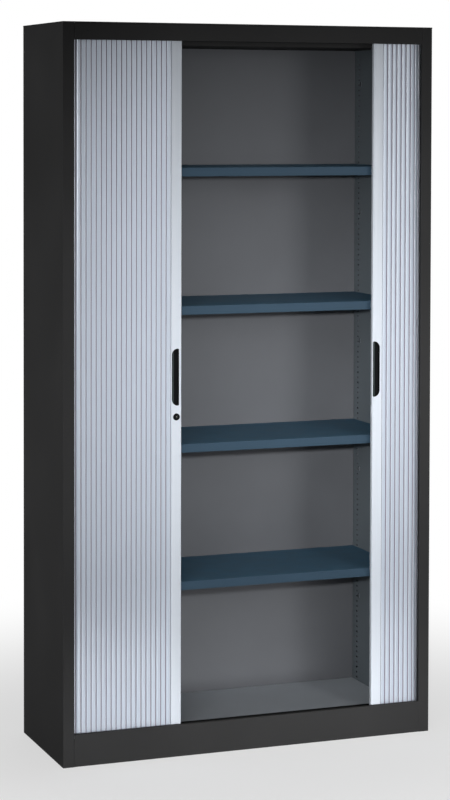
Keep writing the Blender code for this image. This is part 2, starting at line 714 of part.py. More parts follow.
def leading_bar(name, side, axis):
    """The stiff bar at a curtain's free edge: a channel with lips, cut out for the grip cup and the lock."""
    half = BAR_WIDTH / 2
    line = [
        (BAR_LIP - half, BAR_DEPTH),
        (-half, BAR_DEPTH),
        (-half, 0),
        (half, 0),
        (half, BAR_DEPTH),
        (half - BAR_LIP, BAR_DEPTH),
    ]
    outline = mirrored(folded(line, BAR_WALL, BAR_BEND_RADIUS), side)
    mesh = extrude(f"{name}_leading_bar", outline, BAR_BOTTOM, BAR_TOP)
    middle = axis.location.x
    bar = add_object(f"{name}_leading_bar", mesh, "silver_bar", axis, (middle, BAR_FRONT_Y, 0))
    grip_edge = grip_outline(side, GRIP_RIM - FIT_GAP)
    grip_hole = extrude(f"{name}_grip_hole", grip_edge, -CUT_OVERRUN, BAR_DEPTH / 2, "Y")
    cut(bar, f"{name}_grip_hole", grip_hole, (middle, BAR_FRONT_Y, GRIP_CENTRE_HEIGHT))
    slot = box(
        f"{name}_bolt_slot",
        (-CUT_OVERRUN, HOOK_BOLT_FRONT_Y - HOOK_BOLT_SLOT_MARGIN, LOCK_HEIGHT - HOOK_BOLT_SLOT_BELOW),
        (CUT_OVERRUN, HOOK_BOLT_REAR_Y + HOOK_BOLT_SLOT_MARGIN, LOCK_HEIGHT + HOOK_BOLT_SLOT_ABOVE),
    )
    cut(bar, f"{name}_bolt_slot", slot, (middle - side * half, 0, 0))
    if side < 0:
        circle = disc(LOCK_BARREL_RADIUS + FIT_GAP, ROUND_SEGMENTS)
        hole = extrude("lock_hole", circle, -CUT_OVERRUN, BAR_DEPTH / 2, "Y")
        cut(bar, "lock_hole", hole, (LOCK_X, BAR_FRONT_Y, LOCK_HEIGHT))


def shoes(name, axis):
    """The plastic ends of a leading bar, which slide in the grooves and plug into the bar."""
    half = BAR_WIDTH / 2
    stem_half = half - BAR_WALL - FIT_GAP
    stem_front = BAR_FRONT_Y + BAR_WALL + FIT_GAP
    stem_rear = TRACK_Y + SHOE_THICKNESS / 2 - SHOE_SHOULDER
    for level, tip, end in (
        ("lower", GROOVE_BOTTOM + SLIDE_CLEARANCE, BAR_BOTTOM - FIT_GAP),
        ("upper", GROOVE_TOP - LIFT_CLEARANCE, BAR_TOP + FIT_GAP),
    ):
        inward = math.copysign(1, end - tip)
        outline = [
            (-half, end),
            (-half, tip + inward * SHOE_CHAMFER),
            (SHOE_CHAMFER - half, tip),
            (half - SHOE_CHAMFER, tip),
            (half, tip + inward * SHOE_CHAMFER),
            (half, end),
        ]
        mesh = extrude(f"{name}_{level}_shoe", outline, -SHOE_THICKNESS / 2, SHOE_THICKNESS / 2, "Y")
        shoe = add_object(f"{name}_{level}_shoe", mesh, "black_plastic", axis, (axis.location.x, TRACK_Y, 0))
        low, high = sorted((end - inward * SHOE_CHAMFER, end + inward * SHOE_STEM_LENGTH))
        stem = box("stem", (-stem_half, stem_front, low), (stem_half, stem_rear, high))
        join(shoe, f"{name}_{level}_stem", stem, (axis.location.x, 0, 0))


def grip_outline(side, inset):
    """A D with its straight side toward the leading edge, set in from the grip's edge all round."""
    across, up = GRIP_WIDTH / 2 - inset, GRIP_HEIGHT / 2 - inset
    corners = [(-across, -up), (across, -up), (across, up), (-across, up)]
    flat, round_end = GRIP_FLAT_RADIUS - min(inset, GRIP_RIM), GRIP_ROUND_RADIUS - inset
    return mirrored(rounded_outline(corners, (flat, round_end, round_end, flat), GRIP_STEPS), side)


def grip_cup(name, side, axis):
    """A recessed grip whose floor slopes down toward the leading edge, with a thin rim on the bar's face."""
    place = (axis.location.x, BAR_FRONT_Y - FIT_GAP, GRIP_CENTRE_HEIGHT)
    rim = extrude(f"{name}_grip", grip_outline(side, 0), -GRIP_RIM_THICKNESS, 0, "Y")
    cup = add_object(f"{name}_grip_cup", rim, "black_plastic", axis, place)
    edge = grip_outline(side, GRIP_RIM)
    body = extrude(f"{name}_grip_body", edge, -GRIP_RIM_THICKNESS / 2, GRIP_DEPTH, "Y")
    join(cup, f"{name}_grip_body", body, place)
    recess = extrude(f"{name}_grip_recess", grip_outline(side, GRIP_RIM + GRIP_WALL), -CUT_OVERRUN, 0, "Y")
    reach = GRIP_WIDTH / 2 - GRIP_RIM - GRIP_WALL
    for vert in recess.vertices:
        if vert.co.y > -CUT_OVERRUN / 2:
            share = (side * vert.co.x / reach + 1) / 2
            vert.co.y = GRIP_DEEP_FLOOR + (GRIP_SHALLOW_FLOOR - GRIP_DEEP_FLOOR) * share
    cut(cup, f"{name}_grip_recess", recess, place)


def lock(left_door, right_door):
    """The lock in the left bar with its cylinder and hook bolt, and the strike plate in the right bar."""
    barrel_rear = HOOK_BOLT_FRONT_Y - FIT_GAP - BAR_FRONT_Y
    seat = -FIT_GAP
    proud = -LOCK_RING_PROUD
    bore = LOCK_PLUG_RADIUS + FIT_GAP
    ring = [
        (bore, proud),
        (LOCK_RING_RADIUS - LOCK_RING_CHAMFER, proud),
        (LOCK_RING_RADIUS, proud + LOCK_RING_CHAMFER),
        (LOCK_RING_RADIUS, seat),
        (LOCK_BARREL_RADIUS, seat),
        (LOCK_BARREL_RADIUS, barrel_rear),
        (bore, barrel_rear),
    ]
    centre = (LOCK_X, BAR_FRONT_Y, LOCK_HEIGHT)
    housing = turned("lock_housing", depth_profile(ring), ROUND_SEGMENTS, "Y")
    add_object("lock_housing", housing, "black_plastic", left_door, centre)
    axis = add_axis("lock_cylinder", centre)
    axis.parent = left_door
    axis.location = Vector(centre) - left_door.location
    face = LOCK_PLUG_RECESS - LOCK_RING_PROUD
    tail = HOOK_BOLT_REAR_Y + LOCK_TAIL_END - BAR_FRONT_Y
    plug = [
        (0, face),
        (LOCK_PLUG_RADIUS, face),
        (LOCK_PLUG_RADIUS, barrel_rear),
        (LOCK_TAIL_RADIUS, barrel_rear),
        (LOCK_TAIL_RADIUS, tail),
        (0, tail),
    ]
    plug_mesh = turned("lock_plug", depth_profile(plug), ROUND_SEGMENTS, "Y")
    cylinder = add_object("lock_plug", plug_mesh, "bright_metal")
    carry(cylinder, axis, centre)
    key_slot = box(
        "key_slot",
        (-KEY_SLOT_WIDTH / 2, face - CUT_OVERRUN, -KEY_SLOT_LENGTH / 2),
        (KEY_SLOT_WIDTH / 2, face + KEY_SLOT_DEPTH, KEY_SLOT_LENGTH / 2),
    )
    cut(cylinder, "key_slot", key_slot, centre)
    outline = [
        (-HOOK_BOLT_HALF_WIDTH, 0),
        (-HOOK_BOLT_HALF_WIDTH, -HOOK_BOLT_LENGTH),
        (HOOK_BOLT_NOSE_RISE, -HOOK_BOLT_LENGTH),
        (HOOK_BOLT_NOSE_RISE, -HOOK_BOLT_NOSE_START),
        (HOOK_BOLT_HALF_WIDTH, -HOOK_BOLT_NOSE_START),
        (HOOK_BOLT_HALF_WIDTH, 0),
    ]
    low, high = HOOK_BOLT_FRONT_Y - BAR_FRONT_Y, HOOK_BOLT_REAR_Y - BAR_FRONT_Y
    bolt = add_object("hook_bolt", extrude("hook_bolt", outline, low, high, "Y"), "zinc_steel")
    carry(bolt, axis, centre)
    hub = disc(HOOK_BOLT_HUB_RADIUS, ROUND_SEGMENTS)
    join(bolt, "bolt_hub", extrude("bolt_hub", hub, low, high, "Y"), centre)
    shaft = disc(LOCK_TAIL_RADIUS + FIT_GAP, ROUND_SEGMENTS)
    bore = extrude("bolt_bore", shaft, low - CUT_OVERRUN, high + CUT_OVERRUN, "Y")
    cut(bolt, "bolt_bore", bore, centre)
    near = RIGHT_LEADING_EDGE + BAR_WALL + FIT_GAP
    plate = box(
        "strike_plate",
        (0, BAR_FRONT_Y + BAR_WALL + FIT_GAP, -HOOK_BOLT_SLOT_BELOW - STRIKE_BORDER),
        (STRIKE_THICKNESS, BAR_REAR_Y - BAR_WALL - FIT_GAP, HOOK_BOLT_SLOT_ABOVE + STRIKE_BORDER),
    )
    place = (near, 0, LOCK_HEIGHT)
    strike = add_object("strike_plate", plate, "zinc_steel", right_door, place)
    window = box(
        "strike_window",
        (-CUT_OVERRUN, HOOK_BOLT_FRONT_Y - HOOK_BOLT_SLOT_MARGIN, -HOOK_BOLT_SLOT_BELOW),
        (CUT_OVERRUN, HOOK_BOLT_REAR_Y + HOOK_BOLT_SLOT_MARGIN, HOOK_BOLT_SLOT_ABOVE),
    )
    cut(strike, "strike_window", window, place)


def depth_profile(profile):
    """A profile whose heights run toward the front before it is turned to lie along Y."""
    return [(radius, -depth) for radius, depth in profile]


def carry(obj, axis, place):
    """Hangs a piece on an axis that itself hangs on another one, without moving it."""
    obj.parent = axis
    obj.location = Vector(place) - axis.location - axis.parent.location


def levelling_feet():
    """Four feet with threaded studs, each in a bracket with a nut under the base tray."""
    top = BASE_HEIGHT - SHEET - FIT_GAP
    web = top - BRACKET_DROP
    half = BRACKET_WIDTH / 2
    line = [
        (-half - BRACKET_FLANGE, top),
        (-half, top),
        (-half, web),
        (half, web),
        (half, top),
        (half + BRACKET_FLANGE, top),
    ]
    outline = folded(line[::-1], BRACKET_SHEET)
    bracket_mesh = extrude("bracket", outline, -BRACKET_LENGTH / 2, BRACKET_LENGTH / 2, "Y")
    bracket_mesh.materials.append(material("bracket", "zinc_steel"))
    foot_profile = [
        (0, 0),
        (FOOT_PAD_RADIUS - FOOT_PAD_CHAMFER, 0),
        (FOOT_PAD_RADIUS, FOOT_PAD_CHAMFER),
        (FOOT_PAD_RADIUS, FOOT_PAD_HEIGHT),
        (FOOT_STUD_RADIUS, FOOT_PAD_HEIGHT),
        (FOOT_STUD_RADIUS, FOOT_STUD_TOP),
        (0, FOOT_STUD_TOP),
    ]
    foot_mesh = turned("foot", foot_profile, FOOT_SEGMENTS)
    foot_mesh.materials.append(material("foot", "black_plastic"))
    nut_low, nut_high = web - BRACKET_SHEET / 2, web + NUT_HEIGHT
    nut = extrude("nut", disc(NUT_RADIUS, NUT_SIDES), nut_low, nut_high)
    shaft = disc(FOOT_STUD_RADIUS + FIT_GAP, FOOT_SEGMENTS)
    bore = extrude("bore", shaft, 0, nut_high + CUT_OVERRUN)
    for depth_name, depth in (("front", FRONT_Y + FOOT_END_INSET), ("rear", BACK_Y - FOOT_END_INSET)):
        for side_name, side in (("left", -1), ("right", 1)):
            place = (side * (WIDTH / 2 - FOOT_SIDE_INSET), depth, 0)
            bracket = add_object(f"foot_bracket_{depth_name}_{side_name}", bracket_mesh, location=place)
            join(bracket, f"nut_{depth_name}_{side_name}", nut, place)
            cut(bracket, f"bore_{depth_name}_{side_name}", bore, place)
            add_object(f"foot_{depth_name}_{side_name}", foot_mesh, location=place)


def build():
    clear_scene()
    side_panels()
    rails()
    lid_and_trays()
    back_panel()
    floor_and_ceiling()
    inner_walls()
    shelves()
    shelf_hooks()
    tracks()
    axes = doors()
    lock(axes["left"], axes["right"])
    levelling_feet()


if __name__ == "__main__":
    build()
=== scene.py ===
"""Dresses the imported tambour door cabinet: finer pieces where the eye rests, a finish everywhere.

Lengths are metres, +Z is up and the front faces -Y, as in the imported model. Only the tables of
points that in_metres reads are in millimetres.
"""

import logging
import math
from collections.abc import Iterable, Sequence
from dataclasses import dataclass
from enum import Enum, IntEnum

import bmesh
import bpy
from mathutils import Matrix, Vector
from mathutils.geometry import delaunay_2d_cdt


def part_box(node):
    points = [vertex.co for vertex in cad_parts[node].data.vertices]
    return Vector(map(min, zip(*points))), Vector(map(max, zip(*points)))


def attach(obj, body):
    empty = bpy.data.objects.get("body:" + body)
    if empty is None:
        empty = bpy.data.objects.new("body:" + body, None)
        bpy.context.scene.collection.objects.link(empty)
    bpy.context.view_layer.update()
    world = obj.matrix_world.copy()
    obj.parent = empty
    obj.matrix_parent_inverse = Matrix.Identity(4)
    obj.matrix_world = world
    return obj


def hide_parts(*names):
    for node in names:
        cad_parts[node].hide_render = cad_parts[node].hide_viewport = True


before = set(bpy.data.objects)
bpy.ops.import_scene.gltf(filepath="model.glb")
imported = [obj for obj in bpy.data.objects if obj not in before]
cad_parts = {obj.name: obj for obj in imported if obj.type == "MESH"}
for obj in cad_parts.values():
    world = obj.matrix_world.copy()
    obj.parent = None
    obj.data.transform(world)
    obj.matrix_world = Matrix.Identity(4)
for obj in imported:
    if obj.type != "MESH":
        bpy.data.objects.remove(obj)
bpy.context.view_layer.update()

MM = 0.001
SMOOTH_ANGLE = math.radians(38)
WELD_REACH = 0.01 * MM
ROUNDING_SEGMENTS = 2
TRIANGLES_INSIDE = 1
log = logging.getLogger("cabinet")

Colour = tuple[float, float, float, float]
Place = tuple[float, float, float]
Flat = tuple[float, float]
Ring = list[Place]
Shape = bmesh.types.BMesh
Piece = bpy.types.Object
Socket = bpy.types.NodeSocket
Sockets = bpy.types.NodeOutputs


class Slot(Enum):
    """The record's material slots; hang is given one for each new piece but does not use it."""

    INNER = "inner_paint"
    CURTAIN = "curtain_plastic"
    BAR = "bar_aluminium"
    BLACK = "black_plastic"
    ZINC = "zinc_steel"
    LOCK = "lock_chrome"


class Side(Enum):
    """A side of the cabinet, seen from the front, and the sign of its X."""

    LEFT = -1
    RIGHT = 1

    @property
    def word(self) -> str:
        """The side's name as it stands in the names of pieces."""
        return self.name.lower()


class Depth(Enum):
    """Where a piece stands from front to back."""

    FRONT = "front"
    REAR = "rear"


class Level(Enum):
    """Where a piece stands from bottom to top."""

    LOWER = "lower"
    UPPER = "upper"


class SlatPart(IntEnum):
    """The parts of a slat, each with its own material number."""

    FACE = 0
    HINGE = 1
    BEAD = 2
    BACK = 3


class Wiring:
    """A node tree with short calls that add nodes, set their values and link them."""

    COLUMN = 190
    FIRST_COLOUR, SECOND_COLOUR, MIXED_COLOUR = 6, 7, 2

    def __init__(self, tree: bpy.types.NodeTree) -> None:
        """Take over a node tree.

        Args:
            tree: the tree that the nodes go into.
        """
        self.tree = tree

    def add(
        self, kind: str, values: dict[str | int, object] | None = None, **settings: object
    ) -> Sockets:
        """Add a node.

        Args:
            kind: the node's type.
            values: what each input takes, by its name or number: a value, or a socket to link.
            settings: the node's own properties.

        Returns:
            The new node's outputs.
        """
        node = self.tree.nodes.new(kind)
        node.location = (self.COLUMN * len(self.tree.nodes), 0)
        for name, setting in settings.items():
            setattr(node, name, setting)
        for name, value in (values or {}).items():
            self.feed(node.inputs[name], value)
        return node.outputs

    def feed(self, socket: Socket, value: object) -> None:
        """Link a socket, or set its value.

        Args:
            socket: the input that takes the value.
            value: another node's output, or a plain value.
        """
        if isinstance(value, Socket):
            self.tree.links.new(value, socket)
        else:
            socket.default_value = value

    def maths(self, operation: str, *values: object, clamp: bool = False) -> Socket:
        """Work out a number.

        Args:
            operation: the Math node's operation.
            values: its operands.
            clamp: whether the result is kept between 0 and 1.

        Returns:
            The socket that holds the result.
        """
        operands = dict(enumerate(values))
        return self.add("ShaderNodeMath", operands, operation=operation, use_clamp=clamp)[0]

    def blend(self, share: object, first: object, second: object) -> Socket:
        """Mix two colours.

        Args:
            share: how much of the second colour there is.
            first: the colour at share 0.
            second: the colour at share 1.

        Returns:
            The socket that holds the colour.
        """
        values = {"Factor": share, self.FIRST_COLOUR: first, self.SECOND_COLOUR: second}
        return self.add("ShaderNodeMix", values, data_type="RGBA")[self.MIXED_COLOUR]

    def between(self, value: object, low: float, high: float) -> Socket:
        """The value from 0 to 1, spread between two numbers."""
        return self.add("ShaderNodeMapRange", {"Value": value, "To Min": low, "To Max": high})[0]

    def part(self, value: object, low: float, high: float, **settings: object) -> Socket:
        """The part of a value between two numbers, spread from 0 to 1."""
        values = {"Value": value, "From Min": low, "From Max": high}
        return self.add("ShaderNodeMapRange", values, **settings)[0]

    def noise(self, place: Socket, size: Socket, detail: float = 2.0) -> Socket:
        """A noise from 0 to 1 with spots of a size."""
        values = {"Vector": place, "Scale": self.maths("DIVIDE", 1.0, size), "Detail": detail}
        return self.add("ShaderNodeTexNoise", values)["Fac"]

    def relief(self, height: Socket, depth: float) -> Socket:
        """The normal of a relief that is a depth deep."""
        values = {"Height": height, "Distance": depth, "Strength": 1.0}
        return self.add("ShaderNodeBump", values)[0]

    def effect(self, kind: "type[Effect]", place: Socket, **values: float) -> Sockets:
        """Place a shared effect.

        Args:
            kind: the effect's class.
            place: the place on the surface.
            values: what its other inputs take, by name.

        Returns:
            The outputs of the effect's group.
        """
        return self.add("ShaderNodeGroup", {"Vector": place, **values}, node_tree=kind.group())


class Effect:
    """An effect that several finishes share, as a node group that is built once."""

    NAME = ""
    INPUTS: dict[str, float] = {}
    OUTPUTS: tuple[str, ...] = ("Mask",)

    @classmethod
    def group(cls) -> bpy.types.NodeTree:
        """Build the group, or find the one that was built before.

        Returns:
            The node group.
        """
        known = bpy.data.node_groups.get(cls.NAME)
        if known:
            return known
        tree = bpy.data.node_groups.new(cls.NAME, "ShaderNodeTree")
        tree.interface.new_socket("Vector", in_out="INPUT", socket_type="NodeSocketVector")
        for name, value in cls.INPUTS.items():
            socket = tree.interface.new_socket(name, in_out="INPUT", socket_type="NodeSocketFloat")
            socket.default_value = value
        for name in cls.OUTPUTS:
            tree.interface.new_socket(name, in_out="OUTPUT", socket_type="NodeSocketFloat")
        wiring = Wiring(tree)
        made = cls.wire(wiring, wiring.add("NodeGroupInput"))
        wiring.add("NodeGroupOutput", dict(zip(cls.OUTPUTS, made)))
        return tree

    @classmethod
    def wire(cls, wiring: Wiring, given: Sockets) -> Sequence[Socket]:
        """Wire the group. Each effect has its own.

        Args:
            wiring: the group's tree.
            given: the group's inputs.

        Returns:
            The sockets that feed the group's outputs, in order.
        """
        raise NotImplementedError


class Grain(Effect):
    """Fine relief: even, or drawn out along the height as on an extruded or rolled piece."""

    NAME = "grain"
    INPUTS = {"Size": 1 * MM, "Stretch": 1.0, "Detail": 2.0}
    OUTPUTS = ("Height", "Mask")
    LOW, HIGH = 0.35, 0.65

    @classmethod
    def wire(cls, wiring: Wiring, given: Sockets) -> Sequence[Socket]:
        """Scale the place by the grain's size and stretch, and read a noise there.

        Args:
            wiring: the group's tree.
            given: the group's inputs.

        Returns:
            The relief's height, and the same spread into a mask.
        """
        across = wiring.maths("DIVIDE", 1.0, given["Size"])
        up = wiring.maths("DIVIDE", across, given["Stretch"])
        scale = wiring.add("ShaderNodeCombineXYZ", {"X": across, "Y": across, "Z": up})[0]
        factors = {0: given["Vector"], 1: scale}
        place = wiring.add("ShaderNodeVectorMath", factors, operation="MULTIPLY")[0]
        values = {"Vector": place, "Scale": 1.0, "Detail": given["Detail"]}
        height = wiring.add("ShaderNodeTexNoise", values)["Fac"]
        return height, wiring.part(height, cls.LOW, cls.HIGH)


class Cloud(Effect):
    """Slow patches of tone, as in sprayed paint or a handled surface."""

    NAME = "cloud"
    INPUTS = {"Size": 0.2, "Contrast": 0.5}
    DETAIL = 3.0
    GAIN = 4.0
    MIDDLE = 0.5

    @classmethod
    def wire(cls, wiring: Wiring, given: Sockets) -> Sequence[Socket]:
        """Read a soft noise and spread it about the middle by the contrast.

        Args:
            wiring: the group's tree.
            given: the group's inputs.

        Returns:
            The mask of the patches.
        """
        noise = wiring.noise(given["Vector"], given["Size"], cls.DETAIL)
        offset = wiring.maths("SUBTRACT", noise, cls.MIDDLE)
        gain = wiring.maths("MULTIPLY", given["Contrast"], cls.GAIN)
        return (wiring.maths("MULTIPLY_ADD", offset, gain, cls.MIDDLE, clamp=True),)


class EdgeWear(Effect):
    """Edge scuffs and a painted highlight: how far a rounded normal turns from the true one, in
    patches.
    """

    NAME = "edge_wear"
    INPUTS = {"Radius": 1 * MM, "Patches": 30 * MM, "Amount": 0.5}
    SAMPLES = 4
    TURNED = 0.16
    LOW, HIGH = 0.30, 0.72

    @classmethod
    def wire(cls, wiring: Wiring, given: Sockets) -> Sequence[Socket]:
        """Compare the two normals, and let a noise say how much each edge is scuffed and painted
        lighter.

        Args:
            wiring: the group's tree.
            given: the group's inputs.

        Returns:
            The mask of the rubbed edges.
        """
        rounded = wiring.add("ShaderNodeBevel", {"Radius": given["Radius"]}, samples=cls.SAMPLES)[0]
        normals = {0: rounded, 1: wiring.add("ShaderNodeNewGeometry")["Normal"]}
        match = wiring.add("ShaderNodeVectorMath", normals, operation="DOT_PRODUCT")["Value"]
        turn = wiring.maths("SUBTRACT", 1.0, match)
        edge = wiring.maths("DIVIDE", turn, cls.TURNED, clamp=True)
        noise = wiring.noise(given["Vector"], given["Patches"])
        rubbed_and_highlit = wiring.maths("MULTIPLY", edge, wiring.part(noise, cls.LOW, cls.HIGH))
        return (wiring.maths("MULTIPLY", rubbed_and_highlit, given["Amount"], clamp=True),)


class Dust(Effect):
    """A veil on faces that look up, thicker in patches: a dusting, and painted light on the
    shelves.
    """

    NAME = "dust"
    INPUTS = {"Size": 40 * MM, "Amount": 0.2}
    LEVEL = 0.8
    THIN, THICK = 0.3, 0.7

    @classmethod
    def wire(cls, wiring: Wiring, given: Sockets) -> Sequence[Socket]:
        """Multiply how far the face looks up by a noise and the amount.

        Args:
            wiring: the group's tree.
            given: the group's inputs.

        Returns:
            The mask of the veil.
        """
        normal = wiring.add("ShaderNodeNewGeometry")["Normal"]
        height = wiring.add("ShaderNodeSeparateXYZ", {0: normal})["Z"]
        upward = wiring.part(height, cls.LEVEL, 1.0)
        noise = wiring.noise(given["Vector"], given["Size"])
        veil = wiring.maths("MULTIPLY", upward, wiring.between(noise, cls.THIN, cls.THICK))
        return (wiring.maths("MULTIPLY", veil, given["Amount"], clamp=True),)


@dataclass(frozen=True)
class Finish:
    """A finish, made into one material the first time that it is asked for.

    Attributes:
        name: the material's name.
        colour: the linear colour of the clean surface.
        roughness: how rough it is on average.
        metallic: 1 for bare metal and 0 for paint or plastic.
        specular: the strength of its plain reflections.
        relief: how deep its fine relief is.
        gloss_change: how much the roughness changes over the surface.
    """

    name: str
    colour: Colour
    roughness: float
    metallic: float = 0.0
    specular: float = 0.5
    relief: float = 0.02 * MM
    gloss_change: float = 0.05

    def material(self) -> bpy.types.Material:
        """Build the material, or find the one that was built before.

        Returns:
            The finish's material.
        """
        known = bpy.data.materials.get(self.name)
        if known:
            return known
        made = bpy.data.materials.new(self.name)
        made.use_nodes = True
        made.diffuse_color = self.colour
        inputs = made.node_tree.nodes["Principled BSDF"].inputs
        inputs["Metallic"].default_value = self.metallic
        inputs["Specular IOR Level"].default_value = self.specular
        wiring = Wiring(made.node_tree)
        sockets = self.wire(wiring, wiring.add("ShaderNodeTexCoord")["Object"])
        for name, socket in zip(("Base Color", "Roughness", "Normal"), sockets):
            wiring.feed(inputs[name], socket)
        return made

    def wire(self, wiring: Wiring, place: Socket) -> Sequence[Socket]:
        """Wire the finish. Each kind of finish has its own.

        Args:
            wiring: the material's tree.
            place: the place on the surface.

        Returns:
            The sockets of the colour, the roughness and the normal.
        """
        raise NotImplementedError

    def shade(self, share: float) -> Colour:
        """The finish's colour, darker or lighter by a share."""
        return (*(part * share for part in self.colour[:3]), 1.0)

    def tinted(self, wiring: Wiring, mask: Socket, change: float) -> Socket:
        """The colour, darker where a mask is 0 and lighter where it is 1."""
        return wiring.blend(mask, self.shade(1 - change), self.shade(1 + change))

    def gloss(self, wiring: Wiring, mask: Socket) -> Socket:
        """The roughness, lower where a mask is 0 and higher where it is 1."""
        low, high = self.roughness - self.gloss_change, self.roughness + self.gloss_change
        return wiring.between(mask, low, high)


@dataclass(frozen=True)
class PowderCoat(Finish):
    """Sprayed and baked paint: fine orange peel, slow patches, scuffs and a painted highlight on
    edges, a veil.

    Attributes:
        peel: the size of the orange peel.
        tone: how much the patches change the colour.
        patch: the size of the patches.
        worn_and_highlit: the colour of a scuffed edge, lighter as a painted highlight.
        wear: how strongly the edges are scuffed and painted lighter.
        dust: how thick the veil on faces that look up is: a dusting, and on the shelves painted
            light.
        dust_colour: the veil's colour; on the shelves it is the blue of painted light from above.
    """

    PATCHINESS = 0.6
    PEEL_DETAIL = 3.0
    DUST_MATT = 0.6

    peel: float = 0.9 * MM
    tone: float = 0.07
    patch: float = 0.24
    worn_and_highlit: Colour = (0.16, 0.16, 0.17, 1.0)
    wear: float = 0.35
    dust: float = 0.10
    dust_colour: Colour = (0.42, 0.41, 0.39, 1.0)

    def wire(self, wiring: Wiring, place: Socket) -> Sequence[Socket]:
        """Layer the patches, the scuffed edges with their painted highlight and the upward veil,
        over the peel.

        Args:
            wiring: the material's tree.
            place: the place on the surface.

        Returns:
            The sockets of the colour, the roughness and the normal.
        """
        cloud = wiring.effect(Cloud, place, Size=self.patch, Contrast=self.PATCHINESS)["Mask"]
        peel = wiring.effect(Grain, place, Size=self.peel, Detail=self.PEEL_DETAIL)["Height"]
        # The edge mask is scuffing and a painted edge highlight together.
        wear = wiring.effect(EdgeWear, place, Amount=self.wear)["Mask"]
        # The upward veil is a dusting on most paints and painted light from above on the shelves.
        dust = wiring.effect(Dust, place, Amount=self.dust)["Mask"]
        rubbed_and_highlit = wiring.blend(wear, self.tinted(wiring, cloud, self.tone), self.worn_and_highlit)
        dusted_and_top_lit = wiring.blend(dust, rubbed_and_highlit, self.dust_colour)
        gloss = self.gloss(wiring, cloud)
        matt = wiring.maths("MULTIPLY_ADD", dust, self.DUST_MATT, gloss, clamp=True)
        return dusted_and_top_lit, matt, wiring.relief(peel, self.relief)


@dataclass(frozen=True)
class Drawn(Finish):
    """An extruded surface with faint die lines along its height.

    Attributes:
        line: the width of a die line.
        stretch: how many times longer than wide the lines are.
        tone: how much they change the colour.
        patch: the size of the patches of gloss.
    """

    PATCHINESS = 0.5

    line: float = 0.5 * MM
    stretch: float = 600.0
    relief: float = 0.012 * MM
    tone: float = 0.035
    patch: float = 0.16
    gloss_change: float = 0.06

    def wire(self, wiring: Wiring, place: Socket) -> Sequence[Socket]:
        """Layer the die lines over slow patches of gloss.

        Args:
            wiring: the material's tree.
            place: the place on the surface.

        Returns:
            The sockets of the colour, the roughness and the normal.
        """
        lines = wiring.effect(Grain, place, Size=self.line, Stretch=self.stretch)
        cloud = wiring.effect(Cloud, place, Size=self.patch, Contrast=self.PATCHINESS)["Mask"]
        tone = self.tinted(wiring, lines["Mask"], self.tone)
        return tone, self.gloss(wiring, cloud), wiring.relief(lines["Height"], self.relief)


@dataclass(frozen=True)
class Moulded(Finish):
    """Moulded plastic with a spark-eroded grain, its edges buffed a little and lighter with a
    painted highlight.

    Attributes:
        grain: the size of the grain.
        polished: the colour of the edges, lighter as a painted highlight.
        tone: how much the grain changes the colour.
    """

    DETAIL = 1.0
    EDGE = 0.6 * MM
    POLISH = 0.5

    grain: float = 0.35 * MM
    relief: float = 0.03 * MM
    polished: Colour = (0.03, 0.032, 0.034, 1.0)
    tone: float = 0.15
    gloss_change: float = 0.07

    def wire(self, wiring: Wiring, place: Socket) -> Sequence[Socket]:
        """Layer the buffed edges with their painted highlight over the grain.

        Args:
            wiring: the material's tree.
            place: the place on the surface.

        Returns:
            The sockets of the colour, the roughness and the normal.
        """
        grain = wiring.effect(Grain, place, Size=self.grain, Detail=self.DETAIL)
        # This edge mask lightens the edges as a painted highlight.
        wear = wiring.effect(EdgeWear, place, Radius=self.EDGE, Amount=self.POLISH)["Mask"]
        tone = self.tinted(wiring, grain["Mask"], self.tone)
        gloss = self.gloss(wiring, grain["Mask"])
        relief = wiring.relief(grain["Height"], self.relief)
        return wiring.blend(wear, tone, self.polished), gloss, relief


@dataclass(frozen=True)
class Plated(Finish):
    """Plated steel: a faint mottle in its colour and gloss, and fine marks.

    Attributes:
        mottle: the size of the mottle.
        cast: the colour of the darker spots.
        marks: the size of the fine marks.
    """

    PATCHINESS = 0.8

    mottle: float = 4 * MM
    cast: Colour = (0.42, 0.44, 0.46, 1.0)
    marks: float = 0.5 * MM
    relief: float = 0.015 * MM
    gloss_change: float = 0.08

    def wire(self, wiring: Wiring, place: Socket) -> Sequence[Socket]:
        """Layer the mottle over the marks.

        Args:
            wiring: the material's tree.
            place: the place on the surface.

        Returns:
            The sockets of the colour, the roughness and the normal.
        """
        cloud = wiring.effect(Cloud, place, Size=self.mottle, Contrast=self.PATCHINESS)["Mask"]
        marks = wiring.effect(Grain, place, Size=self.marks)["Height"]
        tone = wiring.blend(cloud, self.colour, self.cast)
        return tone, self.gloss(wiring, cloud), wiring.relief(marks, self.relief)


CHARCOAL = PowderCoat(
    "charcoal_powder_coat", (0.0378, 0.0378, 0.0383, 1.0), 0.72, specular=0.03
)
INNER_GREY = PowderCoat(
    "inner_grey_powder_coat", (0.109, 0.114, 0.125, 1.0), 0.50, specular=0.20,
    worn_and_highlit=(0.2, 0.2, 0.2, 1.0), wear=0.25,
)
# The side walls take a lighter, greener copy of the inner paint: painted light on them.
WALL_GREY_LIT = PowderCoat(
    "wall_grey_powder_coat", (0.140, 0.164, 0.181, 1.0), 0.50, specular=0.20,
    worn_and_highlit=(0.2, 0.2, 0.2, 1.0), wear=0.25,
)
# The wall's rims, its holes' walls and cut edges, are near black: painted shade in the holes.
WALL_HOLE_SHADE = PowderCoat(
    "wall_rim_powder_coat", (0.012, 0.013, 0.014, 1.0), 0.60, specular=0.03,
    worn_and_highlit=(0.02, 0.02, 0.02, 1.0), wear=0.25,
)
